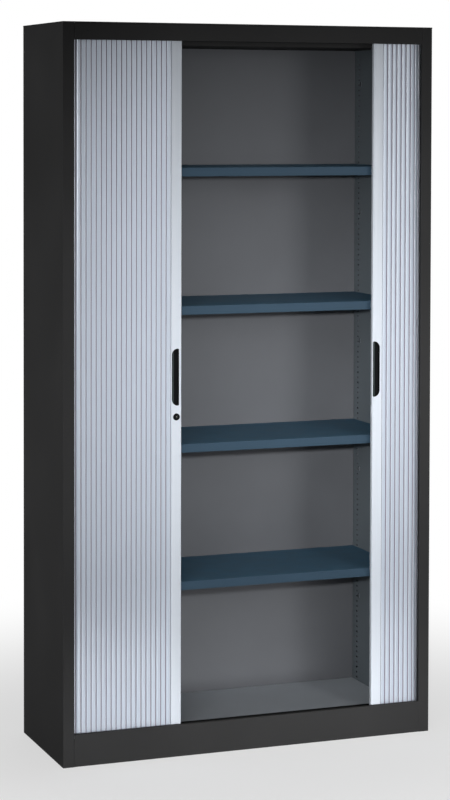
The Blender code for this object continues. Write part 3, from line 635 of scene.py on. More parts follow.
# The floor panel takes the inner paint four times lighter: painted light falling on it.
FLOOR_GREY_LIT = PowderCoat(
    "floor_grey_powder_coat", (0.430, 0.465, 0.505, 1.0), 0.42, specular=0.30,
    worn_and_highlit=(0.3, 0.3, 0.3, 1.0), wear=0.25,
)
# On the shelves the bright blue veil on upward faces is painted light from above.
SHELF_BLUE = PowderCoat(
    "shelf_blue_powder_coat", (0.0365, 0.067, 0.100, 1.0), 0.44, specular=0.10,
    worn_and_highlit=(0.16, 0.22, 0.27, 1.0), wear=0.3, dust=0.45, dust_colour=(0.13, 0.33, 0.50, 1.0),
)
SLAT_SILVER = Drawn(
    "slat_silver_plastic", (0.505, 0.565, 0.655, 1.0), 0.30, metallic=0.1, gloss_change=0.004
)
# The bead faces take a lighter copy of the slat plastic: a painted highlight.
SLAT_BEAD_HIGHLIGHT = Drawn(
    "slat_bead_plastic", (0.575, 0.625, 0.705, 1.0), 0.28, metallic=0.1, gloss_change=0.004
)
# The groove faces take a darker, purple copy of the slat plastic: painted shade in the grooves.
SLAT_GROOVE_SHADE = Drawn(
    "slat_hinge_plastic", (0.310, 0.280, 0.340, 1.0), 0.60, specular=0.2, gloss_change=0.004
)
# The slats' backs are near black: painted shade where they show through the wall's holes.
SLAT_BACK_SHADE = Drawn(
    "slat_back_plastic", (0.030, 0.031, 0.034, 1.0), 0.60, specular=0.08, gloss_change=0.004
)
BAR_SILVER = Drawn(
    "bar_silver_anodised", (0.68, 0.73, 0.80, 1.0), 0.34, specular=0.25, line=0.35 * MM
)
BLACK_MOULDED = Moulded(
    "black_moulded_plastic", (0.004, 0.0046, 0.005, 1.0), 0.45, specular=0.06,
    polished=(0.011, 0.012, 0.013, 1.0),
)
# The grip's ledge takes a lighter grey copy of the black grip plastic: painted light on it.
GRIP_LEDGE_LIT = Moulded(
    "grip_grey_plastic", (0.040, 0.052, 0.051, 1.0), 0.50, specular=0.06,
    polished=(0.052, 0.064, 0.062, 1.0),
)
TRACK_BLACK = Moulded("track_black_plastic", (0.014, 0.014, 0.015, 1.0), 0.48)
ZINC = Plated("zinc_plated_steel", (0.58, 0.60, 0.62, 1.0), 0.34, metallic=1.0)
LOCK_BRIGHT = Plated(
    "lock_bright_nickel", (0.42, 0.41, 0.38, 1.0), 0.22, metallic=1.0,
    cast=(0.33, 0.32, 0.30, 1.0), relief=0.006 * MM,
)


def dress(node: str, finish: Finish) -> None:
    """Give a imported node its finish.

    Args:
        node: the node's name.
        finish: the finish for all of its material slots.
    """
    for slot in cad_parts[node].material_slots:
        slot.material = finish.material()
    log.info("dressed %s in %s", node, finish.name)


def add_piece(name: str, shape: Shape, finishes: Iterable[Finish] = ()) -> Piece:
    """Turn a shape into a smooth-shaded piece with sharp edges.

    Args:
        name: the piece's name.
        shape: its geometry, which is used up.
        finishes: its materials, in the order of the faces' material numbers.

    Returns:
        The new piece.
    """
    mesh = bpy.data.meshes.new(name)
    shape.to_mesh(mesh)
    shape.free()
    mesh.shade_smooth()
    mesh.set_sharp_from_angle(angle=SMOOTH_ANGLE)
    for finish in finishes:
        mesh.materials.append(finish.material())
    piece = bpy.data.objects.new(name, mesh)
    bpy.context.scene.collection.objects.link(piece)
    return piece


def hang(piece: Piece, body: str, slot: Slot, *nodes: str) -> None:
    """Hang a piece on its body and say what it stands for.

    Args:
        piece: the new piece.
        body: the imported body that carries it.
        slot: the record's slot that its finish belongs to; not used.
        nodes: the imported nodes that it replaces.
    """
    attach(piece, body)
    if nodes:
        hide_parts(*nodes)
    log.info("built %s on %s for %s", piece.name, body, ", ".join(nodes) or "no node")


def skin(rings: Sequence[Ring], closed: bool = False) -> Shape:
    """Join rings of points into one closed surface, facing outward.

    Args:
        rings: rings with the same number of points each.
        closed: whether the last ring joins the first. If not, both end rings are capped.

    Returns:
        The surface.
    """
    shape = bmesh.new()
    grid = [[shape.verts.new(point) for point in ring] for ring in rings]
    for ring, beyond in zip(grid, grid[1:] + (grid[:1] if closed else [])):
        for index in range(len(ring)):
            shape.faces.new((ring[index - 1], ring[index], beyond[index], beyond[index - 1]))
    if not closed:
        shape.faces.new(grid[0])
        shape.faces.new(grid[-1])
    bmesh.ops.recalc_face_normals(shape, faces=shape.faces)
    return shape


def prism(outline: Sequence[Flat], low: float, high: float) -> Shape:
    """An upright prism of an outline seen from above."""
    return skin([[(x, y, height) for x, y in outline] for height in (low, high)])


def rectangle(left: float, low: float, right: float, high: float) -> list[Vector]:
    """The corners of a rectangle, once round."""
    return [Vector(place) for place in ((left, low), (right, low), (right, high), (left, high))]


def circle(radius: float, segments: int) -> list[Flat]:
    """The points of a circle."""
    turns = (2 * math.pi * step / segments for step in range(segments))
    return [(radius * math.cos(turn), radius * math.sin(turn)) for turn in turns]


def in_metres(points: Iterable[Flat]) -> list[Flat]:
    """Points that are given in millimetres, in metres."""
    return [(x * MM, y * MM) for x, y in points]


def turned(
    profile: Iterable[Flat], segments: int, centre: Place, to_front: bool, closed: bool = False
) -> Shape:
    """Turn a shape on a lathe.

    Args:
        profile: its (radius, height) points.
        segments: how many sides it has.
        centre: where its heights start.
        to_front: whether its heights run toward the front, and not upward.
        closed: whether the profile's end joins its start, as in a ring.

    Returns:
        The shape.
    """
    x, y, z = centre
    rings = []
    for radius, height in profile:
        places = circle(radius, segments)
        if to_front:
            rings.append([(x + across, y - height, z + up) for across, up in places])
        else:
            rings.append([(x + across, y + along, z + height) for across, along in places])
    return skin(rings, closed)


def arc(before: Vector, corner: Vector, after: Vector, radius: float, steps: int) -> list[Flat]:
    """The points that round a corner.

    Args:
        before: a point on the way to the corner.
        corner: the corner.
        after: a point beyond the corner.
        radius: the radius of the rounding.
        steps: how many straight steps it has.

    Returns:
        The points of the arc.
    """
    to_before, to_after = (before - corner).normalized(), (after - corner).normalized()
    half = to_before.angle(to_after) / 2
    centre = corner + (to_before + to_after).normalized() * radius / math.sin(half)
    first = corner + to_before * radius / math.tan(half) - centre
    turn = math.copysign(math.pi - 2 * half, first.cross(corner - centre))
    turns = (Matrix.Rotation(turn * step / steps, 2) for step in range(steps + 1))
    return [tuple(centre + part @ first) for part in turns]


def settle(piece: Piece) -> None:
    """Keep what a piece's modifiers make of it as its mesh, with sharp edges marked.

    Args:
        piece: the piece.
    """
    graph = bpy.context.evaluated_depsgraph_get()
    whole = bpy.data.meshes.new_from_object(piece.evaluated_get(graph))
    piece.modifiers.clear()
    piece.data = whole
    whole.set_sharp_from_angle(angle=SMOOTH_ANGLE)


def carve(piece: Piece, cutters: Iterable[Shape]) -> None:
    """Cut shapes out of a piece and keep the result as its mesh.

    Args:
        piece: the piece.
        cutters: the shapes to cut out, which are used up.
    """
    helpers = []
    for number, shape in enumerate(cutters):
        helper = add_piece(f"{piece.name}_cutter_{number}", shape)
        modifier = piece.modifiers.new(helper.name, "BOOLEAN")
        modifier.operation = "DIFFERENCE"
        modifier.object = helper
        helpers.append(helper)
    settle(piece)
    for helper in helpers:
        bpy.data.objects.remove(helper)


def soften(piece: Piece, width: float) -> None:
    """Round a piece's sharp edges with a modifier.

    Args:
        piece: the piece.
        width: how wide the rounding is.
    """
    weld = piece.modifiers.new("weld", "WELD")
    weld.merge_threshold = WELD_REACH
    bevel = piece.modifiers.new("bevel", "BEVEL")
    bevel.width = width
    bevel.segments = ROUNDING_SEGMENTS
    bevel.limit_method = "ANGLE"
    bevel.angle_limit = SMOOTH_ANGLE
    bevel.harden_normals = True


@dataclass
class Casing:
    """The folded steel shell with its floor and back, the rivets, and a black strip on the floor's
    edge as painted shade.
    """

    # The outer sheets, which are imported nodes.
    outer: tuple[str, ...] = (
        "left_side_panel", "right_side_panel", "top_rail", "bottom_rail", "top_panel",
        "head_tray", "base_tray", "ceiling_panel",
    )
    # The rivets: the dome's points are shares of its radius and height.
    rivet_radius: float = 3.2 * MM
    rivet_height: float = 1.1 * MM
    rivet_segments: int = 20
    rivet_dome: tuple[Flat, ...] = (
        (1.0, 0.0), (1.0, 0.25), (0.88, 0.62), (0.62, 0.88), (0.30, 1.0),
    )
    rivet_across: float = 471 * MM
    rivet_rows: tuple[float, ...] = (0.12, 0.46, 0.80, 1.14, 1.48, 1.82)
    sheet: float = 1 * MM
    # The black shade strip's section, from the floor's front top edge.
    shade_strip_fit: float = 0.05 * MM
    trim_section: tuple[Flat, ...] = (
        (0.0, -9.0), (-0.9, -9.0), (-0.9, 0.2), (-0.6, 0.6), (-0.2, 0.8), (3.2, 0.8), (3.5, 0.5),
        (3.5, 0.0), (0.0, 0.0),
    )

    def build(self) -> None:
        """Dress the shell, set the rivets and lay the black shade strip on the floor's edge."""
        for node in self.outer:
            dress(node, CHARCOAL)
        dress("back_panel", INNER_GREY)
        dress("floor_panel", FLOOR_GREY_LIT)
        self.set_rivets()
        self.lay_shade_strip()

    def lay_shade_strip(self) -> None:
        """Lay the black angle strip over the front edge of the floor, behind the curtains: painted
        shade along their foot.
        """
        low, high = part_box("floor_panel")
        corner_y, corner_z = low.y - self.shade_strip_fit, high.z + self.shade_strip_fit
        section = [(corner_y + back, corner_z + up) for back, up in in_metres(self.trim_section)]
        rings = [[(x, y, z) for y, z in section] for x in (low.x, high.x)]
        hang(add_piece("floor_edge_strip", skin(rings), (BLACK_MOULDED,)), "casing", Slot.BLACK)

    def set_rivets(self) -> None:
        """Set two columns of domed rivets in the back, over the flanges of the inner walls."""
        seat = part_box("back_panel")[0].y + self.sheet
        dome = [(share * self.rivet_radius, -rise * self.rivet_height)
                for share, rise in self.rivet_dome]
        for side in Side:
            for row, level in enumerate(self.rivet_rows, 1):
                centre = (side.value * self.rivet_across, seat, level)
                shape = turned(dome, self.rivet_segments, centre, to_front=True)
                rivet = add_piece(f"back_rivet_{side.word}_{row}", shape, (ZINC,))
                hang(rivet, "casing", Slot.ZINC)


@dataclass
class PerforatedWall:
    """An inner wall with two full columns of hook holes and the square slots beside them."""

    side: Side
    # The sheet and its folded flanges.
    sheet: float = 1 * MM
    flange: float = 12 * MM
    bend: float = 1.2 * MM
    bend_steps: int = 3
    # The hook holes, in a front and a rear column.
    columns: Flat = (-124.5 * MM, 150 * MM)
    hole: Flat = (9.4 * MM, 5 * MM)
    corner: float = 1.9 * MM
    first_hole: float = 81.5 * MM
    pitch: float = 15 * MM
    count: int = 122
    # The slots beside each column.
    slot_offsets: Flat = (11.5 * MM, -11.5 * MM)
    slot: Flat = (8 * MM, 13 * MM)
    slot_corner: float = 0.8 * MM
    first_slot: float = 325 * MM
    slot_pitch: float = 375 * MM
    slot_count: int = 5
    corner_steps: int = 3
    # How near two points are to be the same, and a point to be on an edge.
    same_point: float = 1e-7
    on_edge: float = 1e-6

    def opening(self, depth: float, level: float, size: Flat, corner: float) -> list[Vector]:
        """The outline of a hole or slot.

        Args:
            depth: the Y of its middle.
            level: the Z of its middle.
            size: its width and height.
            corner: the radius of its corners.

        Returns:
            Its (Y, Z) points.
        """
        across, up = size[0] / 2, size[1] / 2
        corners = rectangle(-across, -up, across, up)
        points = []
        for before, point, after in zip(corners[-1:] + corners, corners, corners[1:] + corners):
            points += arc(before, point, after, corner, self.corner_steps)
        return [Vector((depth + x, level + y)) for x, y in points]

    def openings(self) -> list[list[Vector]]:
        """Lay out all holes and slots.

        Returns:
            Their outlines.
        """
        outlines = []
        for depth, offset in zip(self.columns, self.slot_offsets):
            for row in range(self.count):
                level = self.first_hole + row * self.pitch
                outlines.append(self.opening(depth, level, self.hole, self.corner))
            for row in range(self.slot_count):
                level = self.first_slot + row * self.slot_pitch
                outlines.append(self.opening(depth + offset, level, self.slot, self.slot_corner))
        return outlines

    def fill(self, web_x: float, corners: Sequence[Vector]) -> Shape:
        """Fill the web with triangles round its openings.

        Args:
            web_x: the X of the web.
            corners: the (Y, Z) corners of the web.

        Returns:
            The flat web.
        """
        points = list(corners)
        faces = [list(range(len(points)))]
        for outline in self.openings():
            faces.append(list(range(len(points), len(points) + len(outline))))
            points += outline
        filled = delaunay_2d_cdt(points, [], faces, TRIANGLES_INSIDE, self.same_point)
        spots, _, pieces, _, _, origins = filled
        shape = bmesh.new()
        verts = [shape.verts.new((web_x, spot.x, spot.y)) for spot in spots]
        # A triangle that comes from the web's outline alone lies in no opening.
        for piece, origin in zip(pieces, origins):
            if max(origin) == 0:
                shape.faces.new([verts[index] for index in piece])
        return shape

    def build(self) -> None:
        """Fill the web, fold the flanges and give the sheet its thickness."""
        node = f"{self.side.word}_inner_wall"
        low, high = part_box(node)
        front, rear = low.y + self.bend, high.y - self.bend
        web_x = high.x if self.side is Side.LEFT else low.x
        shape = self.fill(web_x, rectangle(front, low.z, rear, high.z))
        self.fold(shape, front, -1)
        self.fold(shape, rear, 1)
        bmesh.ops.recalc_face_normals(shape, faces=shape.faces)
        finishes = (WALL_GREY_LIT, WALL_HOLE_SHADE)
        wall = add_piece(f"{self.side.word}_perforated_wall", shape, finishes)
        thick = wall.modifiers.new("sheet", "SOLIDIFY")
        thick.thickness = self.sheet
        thick.offset = -1 if self.faces_in(wall) else 1
        # The rims take the near-black painted shade.
        thick.material_offset_rim = finishes.index(WALL_HOLE_SHADE)
        settle(wall)
        hang(wall, "casing", Slot.INNER, node)

    def fold(self, shape: Shape, edge_y: float, direction: int) -> None:
        """Fold a flange outward along one edge of the web.

        Args:
            shape: the wall.
            edge_y: the Y of the web's edge.
            direction: 1 at the rear and -1 at the front.
        """
        edges = [
            edge for edge in shape.edges
            if all(abs(vert.co.y - edge_y) < self.on_edge for vert in edge.verts)
        ]
        steps = []
        for step in range(1, self.bend_steps + 1):
            angle = math.pi / 2 * step / self.bend_steps
            steps.append((self.bend * (1 - math.cos(angle)), self.bend * math.sin(angle)))
        steps.append((self.flange, self.bend))
        reached = (0.0, 0.0)
        for away, along in steps:
            made = bmesh.ops.extrude_edge_only(shape, edges=edges)["geom"]
            verts = [part for part in made if isinstance(part, bmesh.types.BMVert)]
            edges = [part for part in made if isinstance(part, bmesh.types.BMEdge)]
            outward = self.side.value * (away - reached[0])
            onward = direction * (along - reached[1])
            bmesh.ops.translate(shape, verts=verts, vec=(outward, onward, 0))
            reached = (away, along)

    def faces_in(self, wall: Piece) -> bool:
        """Whether the wall's faces look toward the shelves."""
        middle = max(wall.data.polygons, key=lambda face: face.area)
        return middle.normal.x * self.side.value < 0


@dataclass
class Shelves:
    """The four shelves and the plated hooks that they hang on."""

    count: int = 4
    hook_edge: float = 0.35 * MM

    def build(self) -> None:
        """Dress the shelves and hooks."""
        for number in range(1, self.count + 1):
            dress(f"shelf_{number}", SHELF_BLUE)
            for side in Side:
                for depth in Depth:
                    node = f"hook_{number}_{side.word}_{depth.value}"
                    dress(node, ZINC)
                    soften(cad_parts[node], self.hook_edge)


class Tracks:
    """The grooved tracks below and above both curtains."""

    def build(self) -> None:
        """Dress the tracks."""
        for side in Side:
            for level in Level:
                dress(f"{side.word}_{level.value}_track", TRACK_BLACK)


@dataclass
class Curtain:
    """A slatted curtain that follows the track's curve as its door slides."""

    side: Side
    # How far along the track each curtain starts, on the left and on the right.
    starts: Flat = (228.7 * MM, 393.2 * MM)
    # The slats.
    slats: int = 38
    pitch: float = 14 * MM
    thickness: float = 6 * MM
    groove_depth: float = 3.2 * MM
    relief_depth: float = 1.2 * MM
    low: float = 53.8 * MM
    high: float = 1943.7 * MM
    # The track: along the front, round the corner, along the side and back round a turn.
    track_y: float = -175.5 * MM
    track_x: float = 519.5 * MM
    corner_radius: float = 42 * MM
    turn_radius: float = 21.5 * MM
    turn_y: float = 152.2 * MM
    return_end: float = 15 * MM
    arc_steps: int = 24
    # A slat's section: its face with a bead beside the groove, and its back.
    face: tuple[Flat, ...] = (
        (-6.25, -0.10), (-6.05, 0.90), (-5.88, 2.00), (-5.55, 2.65), (-5.00, 2.93), (-4.30, 3.00),
        (-3.60, 2.90), (-3.15, 2.62), (-2.90, 2.40), (-2.00, 2.52), (0.00, 2.66), (2.00, 2.64),
        (3.80, 2.50), (4.90, 2.20), (5.50, 1.55), (5.82, 0.40), (6.10, -0.10),
    )
    back: tuple[Flat, ...] = ((-6.20, -2.90), (-5.90, -3.00), (5.90, -3.00), (6.20, -2.90))
    face_parts: tuple[SlatPart, ...] = (
        (SlatPart.HINGE,) * 3 + (SlatPart.BEAD,) * 5 + (SlatPart.FACE,) * 7 + (SlatPart.HINGE,) * 3
    )

    def route(self) -> list[Flat]:
        """Follow the track's centre line on the right.

        Returns:
            Its points, from the middle of the front to beyond the curtain's end.
        """
        angles = [math.pi / 2 * step / self.arc_steps for step in range(2 * self.arc_steps + 1)]
        points = [(0.0, self.track_y)]
        radius = self.corner_radius
        x, y = self.track_x - radius, self.track_y + radius
        for angle in angles[:self.arc_steps + 1]:
            points.append((x + radius * math.sin(angle), y - radius * math.cos(angle)))
        radius = self.turn_radius
        x, y = self.track_x - radius, self.turn_y
        for angle in angles:
            points.append((x + radius * math.cos(angle), y + radius * math.sin(angle)))
        points.append((self.track_x - 2 * radius, self.return_end))
        return points

    def guide(self) -> Piece:
        """Lay the curve that bends the curtain, hidden in the casing.

        Returns:
            The curve.
        """
        data = bpy.data.curves.new(f"{self.side.word}_route", "CURVE")
        data.dimensions = "3D"
        data.twist_mode = "Z_UP"
        spline = data.splines.new("POLY")
        route = self.route()
        spline.points.add(len(route) - 1)
        for point, (x, y) in zip(spline.points, route):
            point.co = (x, self.side.value * (y - self.track_y), 0, 1)
        curve = bpy.data.objects.new(data.name, data)
        bpy.context.scene.collection.objects.link(curve)
        self.stand(curve)
        curve.hide_render = True
        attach(curve, "casing")
        return curve

    def stand(self, piece: Piece) -> None:
        """Put a piece on the route's start, turned so that its X runs along the route."""
        piece.location = (0, self.track_y, 0)
        piece.rotation_euler.z = 0 if self.side is Side.RIGHT else math.pi

    def slat(self) -> tuple[list[Flat], list[Flat]]:
        """Draw one slat from joint to joint.

        Returns:
            The points across its face, and those across its back.
        """
        half_pitch, half = self.pitch / 2, self.thickness / 2
        face = [(-half_pitch, half - self.groove_depth), *in_metres(self.face)]
        back = [(-half_pitch, self.relief_depth - half), *in_metres(self.back)]
        return face, back

    def strip(self) -> Shape:
        """Draw the slats as one straight strip, hinged at their grooves.

        Returns:
            The strip, whose faces have the parts of the slats as material numbers.
        """
        face, back = self.slat()
        start = self.starts[0 if self.side is Side.LEFT else 1]
        shape = bmesh.new()
        fronts, rears = [], []
        # The last slat adds only the first point of its face and of its back.
        for index in range(self.slats + 1):
            middle = start + self.pitch * (index + 0.5)
            kept = 1 if index == self.slats else None
            for rows, points in ((fronts, face[:kept]), (rears, back[:kept])):
                for along, out in points:
                    x, y = middle + along, -self.side.value * out
                    rows.append([shape.verts.new((x, y, level)) for level in (self.low, self.high)])
        for rows in (fronts, rears):
            for index, (row, beyond) in enumerate(zip(rows, rows[1:])):
                made = shape.faces.new((row[0], beyond[0], beyond[1], row[1]))
                part = self.face_parts[index % len(face)] if rows is fronts else SlatPart.BACK
                made.material_index = part
        # Close each slat below and above, and then the strip at its two ends.
        for slat in range(self.slats):
            face_rows = fronts[slat * len(face):(slat + 1) * len(face) + 1]
            back_rows = rears[slat * len(back):(slat + 1) * len(back) + 1]
            for end in (0, 1):
                shape.faces.new([row[end] for row in face_rows + back_rows[::-1]])
        for front, rear in ((fronts[0], rears[0]), (fronts[-1], rears[-1])):
            shape.faces.new((front[0], rear[0], rear[1], front[1]))
        bmesh.ops.recalc_face_normals(shape, faces=shape.faces)
        return shape

    def build(self) -> None:
        """Stand the strip on the track's start and bend it along the track."""
        finishes = (SLAT_SILVER, SLAT_GROOVE_SHADE, SLAT_BEAD_HIGHLIGHT, SLAT_BACK_SHADE)
        slats = add_piece(f"{self.side.word}_slats", self.strip(), finishes)
        self.stand(slats)
        bend = slats.modifiers.new("track", "CURVE")
        bend.object = self.guide()
        bend.deform_axis = "POS_X"
        hang(slats, f"{self.side.word}_door", Slot.CURTAIN, f"{self.side.word}_curtain")


@dataclass
class LeadingBar:
    """The stiff bar at a curtain's free edge, with its grip cup and its plastic ends."""

    side: Side
    # The bar's section, whose face has a groove and a rounded leading edge.
    width: float = 29.4 * MM
    depth: float = 12 * MM
    wall: float = 1.6 * MM
    lip: float = 5 * MM
    edge_radius: float = 0.7 * MM
    front_face: tuple[Flat, ...] = (
        (0.0, 1.6), (0.12, 0.95), (0.45, 0.40), (0.95, 0.08), (1.6, 0.0), (24.2, 0.0),
        (24.5, 0.10), (24.75, 0.32), (25.0, 0.10), (25.4, -0.12), (26.2, -0.28), (27.1, -0.22),
        (27.9, 0.10), (28.6, 0.70), (29.1, 1.60), (29.4, 2.9),
    )
    # The hole for the lock, and the slot for its bolt.
    lock_radius: float = 7.8 * MM
    lock_level: float = 921 * MM
    lock_segments: int = 48
    slot_margin: float = 0.6 * MM
    slot_drop: float = 8 * MM
    slot_reach: float = 4 * MM
    # The grip's D, and the hole for it.
    grip_level: float = 1025 * MM
    grip_size: Flat = (20.3 * MM, 154 * MM)
    grip_shift: Flat = (-2.9 * MM, 3.5 * MM)
    round_radius: float = 15.8 * MM
    round_stretch: float = 1.15
    flat_radius: float = 3.2 * MM
    least_radius: float = 0.25 * MM
    grip_steps: int = 12
    hole_inset: float = 1.0 * MM
    cut_depth: float = 6 * MM
    # The cup: its rings from the underside to the floor, as inset and depth, or lift on the floor.
    fit: float = 0.3 * MM
    shallow: float = 4.4 * MM
    deep: float = 7.6 * MM
    cup_rim: tuple[Flat, ...] = (
        (1.3, 9.2), (1.3, 0.0), (0.0, 0.0), (0.0, -0.25), (0.22, -0.52), (0.60, -0.60),
        (1.00, -0.52), (1.35, -0.22), (1.60, 0.30),
    )
    cup_floor: tuple[Flat, ...] = ((1.75, 1.30), (1.95, 0.60), (2.35, 0.15), (2.90, 0.0))
    # The ledge in the cup: its rings as depth and inset.
    ledge_width: float = 6.6 * MM
    ledge_gap: float = 1.35 * MM
    ledge_slope: float = 1.1 * MM
    ledge_edge: tuple[Flat, ...] = ((6.2, 0.0), (1.6, 0.0), (1.1, 0.15), (0.9, 0.45))

    def name(self, piece: str) -> str:
        """A piece's or node's name on this side."""
        return f"{self.side.word}_{piece}"

    @property
    def anchor(self) -> Flat:
        """The X of the bar's middle and the Y of its face."""
        low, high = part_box(self.name("leading_bar"))
        return (low.x + high.x) / 2, low.y

    def outline(self) -> list[Flat]:
        """Draw the bar's section, seen from above.

        Returns:
            The points of the section, once round.
        """
        width, depth, wall = self.width, self.depth, self.wall
        lip, edge = self.lip, self.edge_radius
        points = [(lip, depth), (edge, depth), (0.0, depth - edge), *in_metres(self.front_face)]
        points += [(width, depth - edge), (width - edge, depth), (width - lip, depth)]
        points += [(width - lip, depth - wall), (width - wall, depth - wall), (width - wall, wall)]
        points += [(wall, wall), (wall, depth - wall), (lip, depth - wall)]
        middle, front = self.anchor
        turn = -self.side.value
        return [(middle + turn * (across - width / 2), front + back) for across, back in points]

    def grip_ring(self, inset: float, back: float | None, lift: float = 0.0) -> Ring:
        """Draw one ring of the grip: a D whose straight side is toward the leading edge.

        Args:
            inset: how far inside the grip's edge it runs.
            back: its Y, or None where it follows the sloping floor.
            lift: how far above the floor it runs.

        Returns:
            The ring's points.
        """
        reach = self.grip_size[0] / 2
        across, up = reach - inset, self.grip_size[1] / 2 - inset
        corners = rectangle(-across, -up, across, up)
        flat, rounded = max(self.flat_radius - inset, self.least_radius), self.round_radius - inset
        middle, face_y = self.anchor
        level = self.grip_level + self.grip_shift[1]
        ring = []
        for index, (corner, radius) in enumerate(zip(corners, (flat, rounded, rounded, flat))):
            stretch = self.round_stretch if radius > flat else 1.0
            after = corners[(index + 1) % len(corners)]
            for x, z in arc(corners[index - 1], corner, after, radius, self.grip_steps):
                share = (1 - self.side.value * x / reach) / 2
                floor = face_y + self.deep + (self.shallow - self.deep) * share - lift
                place_x = middle + self.side.value * x + self.grip_shift[0]
                place_z = level + (corner.y + (z - corner.y) * stretch)
                ring.append((place_x, floor if back is None else back, place_z))
        return ring

    def build(self) -> None:
        """Build the bar and the grip, and dress the plastic ends."""
        low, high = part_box(self.name("leading_bar"))
        middle, face_y = self.anchor
        shape = prism(self.outline(), low.z, high.z)
        bar = add_piece(self.name("bar"), shape, (BAR_SILVER,))
        ends = (-self.cut_depth, self.cut_depth)
        cutters = [skin([self.grip_ring(self.hole_inset, face_y + end) for end in ends])]
        if self.side is Side.LEFT:
            centre = (middle, face_y, self.lock_level)
            barrel = [(self.lock_radius, end) for end in ends]
            cutters.append(turned(barrel, self.lock_segments, centre, to_front=True))
        cutters.append(self.bolt_slot(high.x if self.side is Side.LEFT else low.x))
        carve(bar, cutters)
        hang(bar, self.name("door"), Slot.BAR, self.name("leading_bar"))
        self.build_grip()
        self.build_ledge()
        for level in Level:
            dress(self.name(f"{level.value}_shoe"), BLACK_MOULDED)

    def bolt_slot(self, side_x: float) -> Shape:
        """Shape the slot in the leading side that the hook bolt swings through.

        Args:
            side_x: the X of the bar's leading side.

        Returns:
            The shape to cut out.
        """
        strike_low, strike_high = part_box("strike_plate")
        bolt_low, bolt_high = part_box("hook_bolt")
        outline = rectangle(
            side_x - self.slot_reach, bolt_low.y - self.slot_margin,
            side_x + self.slot_reach, bolt_high.y + self.slot_margin,
        )
        return prism(outline, strike_low.z + self.slot_drop, strike_high.z - self.slot_drop)

    def build_grip(self) -> None:
        """Build the grip cup as one closed shell, from its underside over the rim to its floor."""
        seat = self.anchor[1] - self.fit
        rings = [self.grip_ring(inset, seat + back) for inset, back in in_metres(self.cup_rim)]
        rings += [self.grip_ring(inset, None, lift) for inset, lift in in_metres(self.cup_floor)]
        cup = add_piece(self.name("grip"), skin(rings), (BLACK_MOULDED,))
        hang(cup, self.name("door"), Slot.BLACK, self.name("grip_cup"))

    def build_ledge(self) -> None:
        """Build the sloping ledge along the cup's left side, which the fingers slide in over."""
        middle, face_y = self.anchor
        edge = middle + self.grip_shift[0] - self.grip_size[0] / 2
        outline = self.ledge_outline(edge + self.ledge_width)
        centre_x = edge + self.ledge_width / 2
        centre_z = self.grip_level + self.grip_shift[1]
        rings = []
        for depth, cut in in_metres(self.ledge_edge):
            narrow, short = 1 - 2 * cut / self.ledge_width, 1 - 2 * cut / self.grip_size[1]
            ring = []
            for x, z in outline:
                slope = self.ledge_slope * (x - edge) / self.ledge_width
                place_x = centre_x + (x - centre_x) * narrow
                place_z = centre_z + (z - centre_z) * short
                ring.append((place_x, face_y + depth + slope, place_z))
            rings.append(ring)
        # The ledge's grey is painted light on the grip plastic.
        ledge = add_piece(self.name("grip_ledge"), skin(rings), (GRIP_LEDGE_LIT,))
        hang(ledge, self.name("door"), Slot.BLACK)

    def ledge_outline(self, limit: float) -> list[Flat]:
        """Draw the part of the cup's inside that lies left of a limit.

        Args:
            limit: the X that the part ends at.

        Returns:
            Its (X, Z) points.
        """
        points = [(x, z) for x, _, z in self.grip_ring(self.ledge_gap, 0.0)]
        kept = []
        for before, after in zip(points[-1:] + points, points):
            if (before[0] < limit) != (after[0] < limit):
                share = (limit - before[0]) / (after[0] - before[0])
                kept.append((limit, before[1] + share * (after[1] - before[1])))
            if after[0] < limit:
                kept.append(after)
        return kept


@dataclass
class Lock:
    """The cylinder lock in the left bar, its hook bolt, and the strike plate in the right bar."""

    segments: int = 48
    ring: tuple[Flat, ...] = (
        (4.5, 2.05), (4.9, 2.35), (5.6, 2.50), (7.6, 2.50), (8.5, 2.28), (9.15, 1.80),
        (9.45, 1.10), (9.5, 0.3), (7.5, 0.3), (7.5, -4.6), (4.5, -4.6),
    )
    plug: tuple[Flat, ...] = (
        (0.6, 1.92), (1.3, 1.94), (1.6, 1.86), (1.9, 1.62), (3.6, 1.66), (4.0, 1.52),
        (4.2, 1.2), (4.2, -4.6), (2.6, -4.6), (2.6, -8.3),
    )
    key_slot: Place = (1.0 * MM, 3.2 * MM, 4.8 * MM)
    bright_radius: float = 1.6 * MM
    edge: float = 0.3 * MM

    def build(self) -> None:
        """Build the ring and the plug, and dress the steel behind them."""
        low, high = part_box("lock_plug")
        x, z = (low.x + high.x) / 2, (low.z + high.z) / 2
        centre = (x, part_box("left_leading_bar")[0].y, z)
        ring = turned(in_metres(self.ring), self.segments, centre, to_front=True, closed=True)
        housing = add_piece("lock_ring", ring, (BLACK_MOULDED,))
        hang(housing, "left_door", Slot.BLACK, "lock_housing")
        core = turned(in_metres(self.plug), self.segments, centre, to_front=True)
        for face in core.faces:
            place = face.calc_center_median()
            face.material_index = int(math.hypot(place.x - x, place.z - z) > self.bright_radius)
        cylinder = add_piece("lock_core", core, (LOCK_BRIGHT, BLACK_MOULDED))
        width, depth, length = self.key_slot
        outline = rectangle(x - width / 2, low.y - depth, x + width / 2, low.y + depth)
        carve(cylinder, [prism(outline, z - length / 2, z + length / 2)])
        hang(cylinder, "lock_cylinder", Slot.LOCK, "lock_plug")
        for node in ("hook_bolt", "strike_plate"):
            dress(node, ZINC)
            soften(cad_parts[node], self.edge)


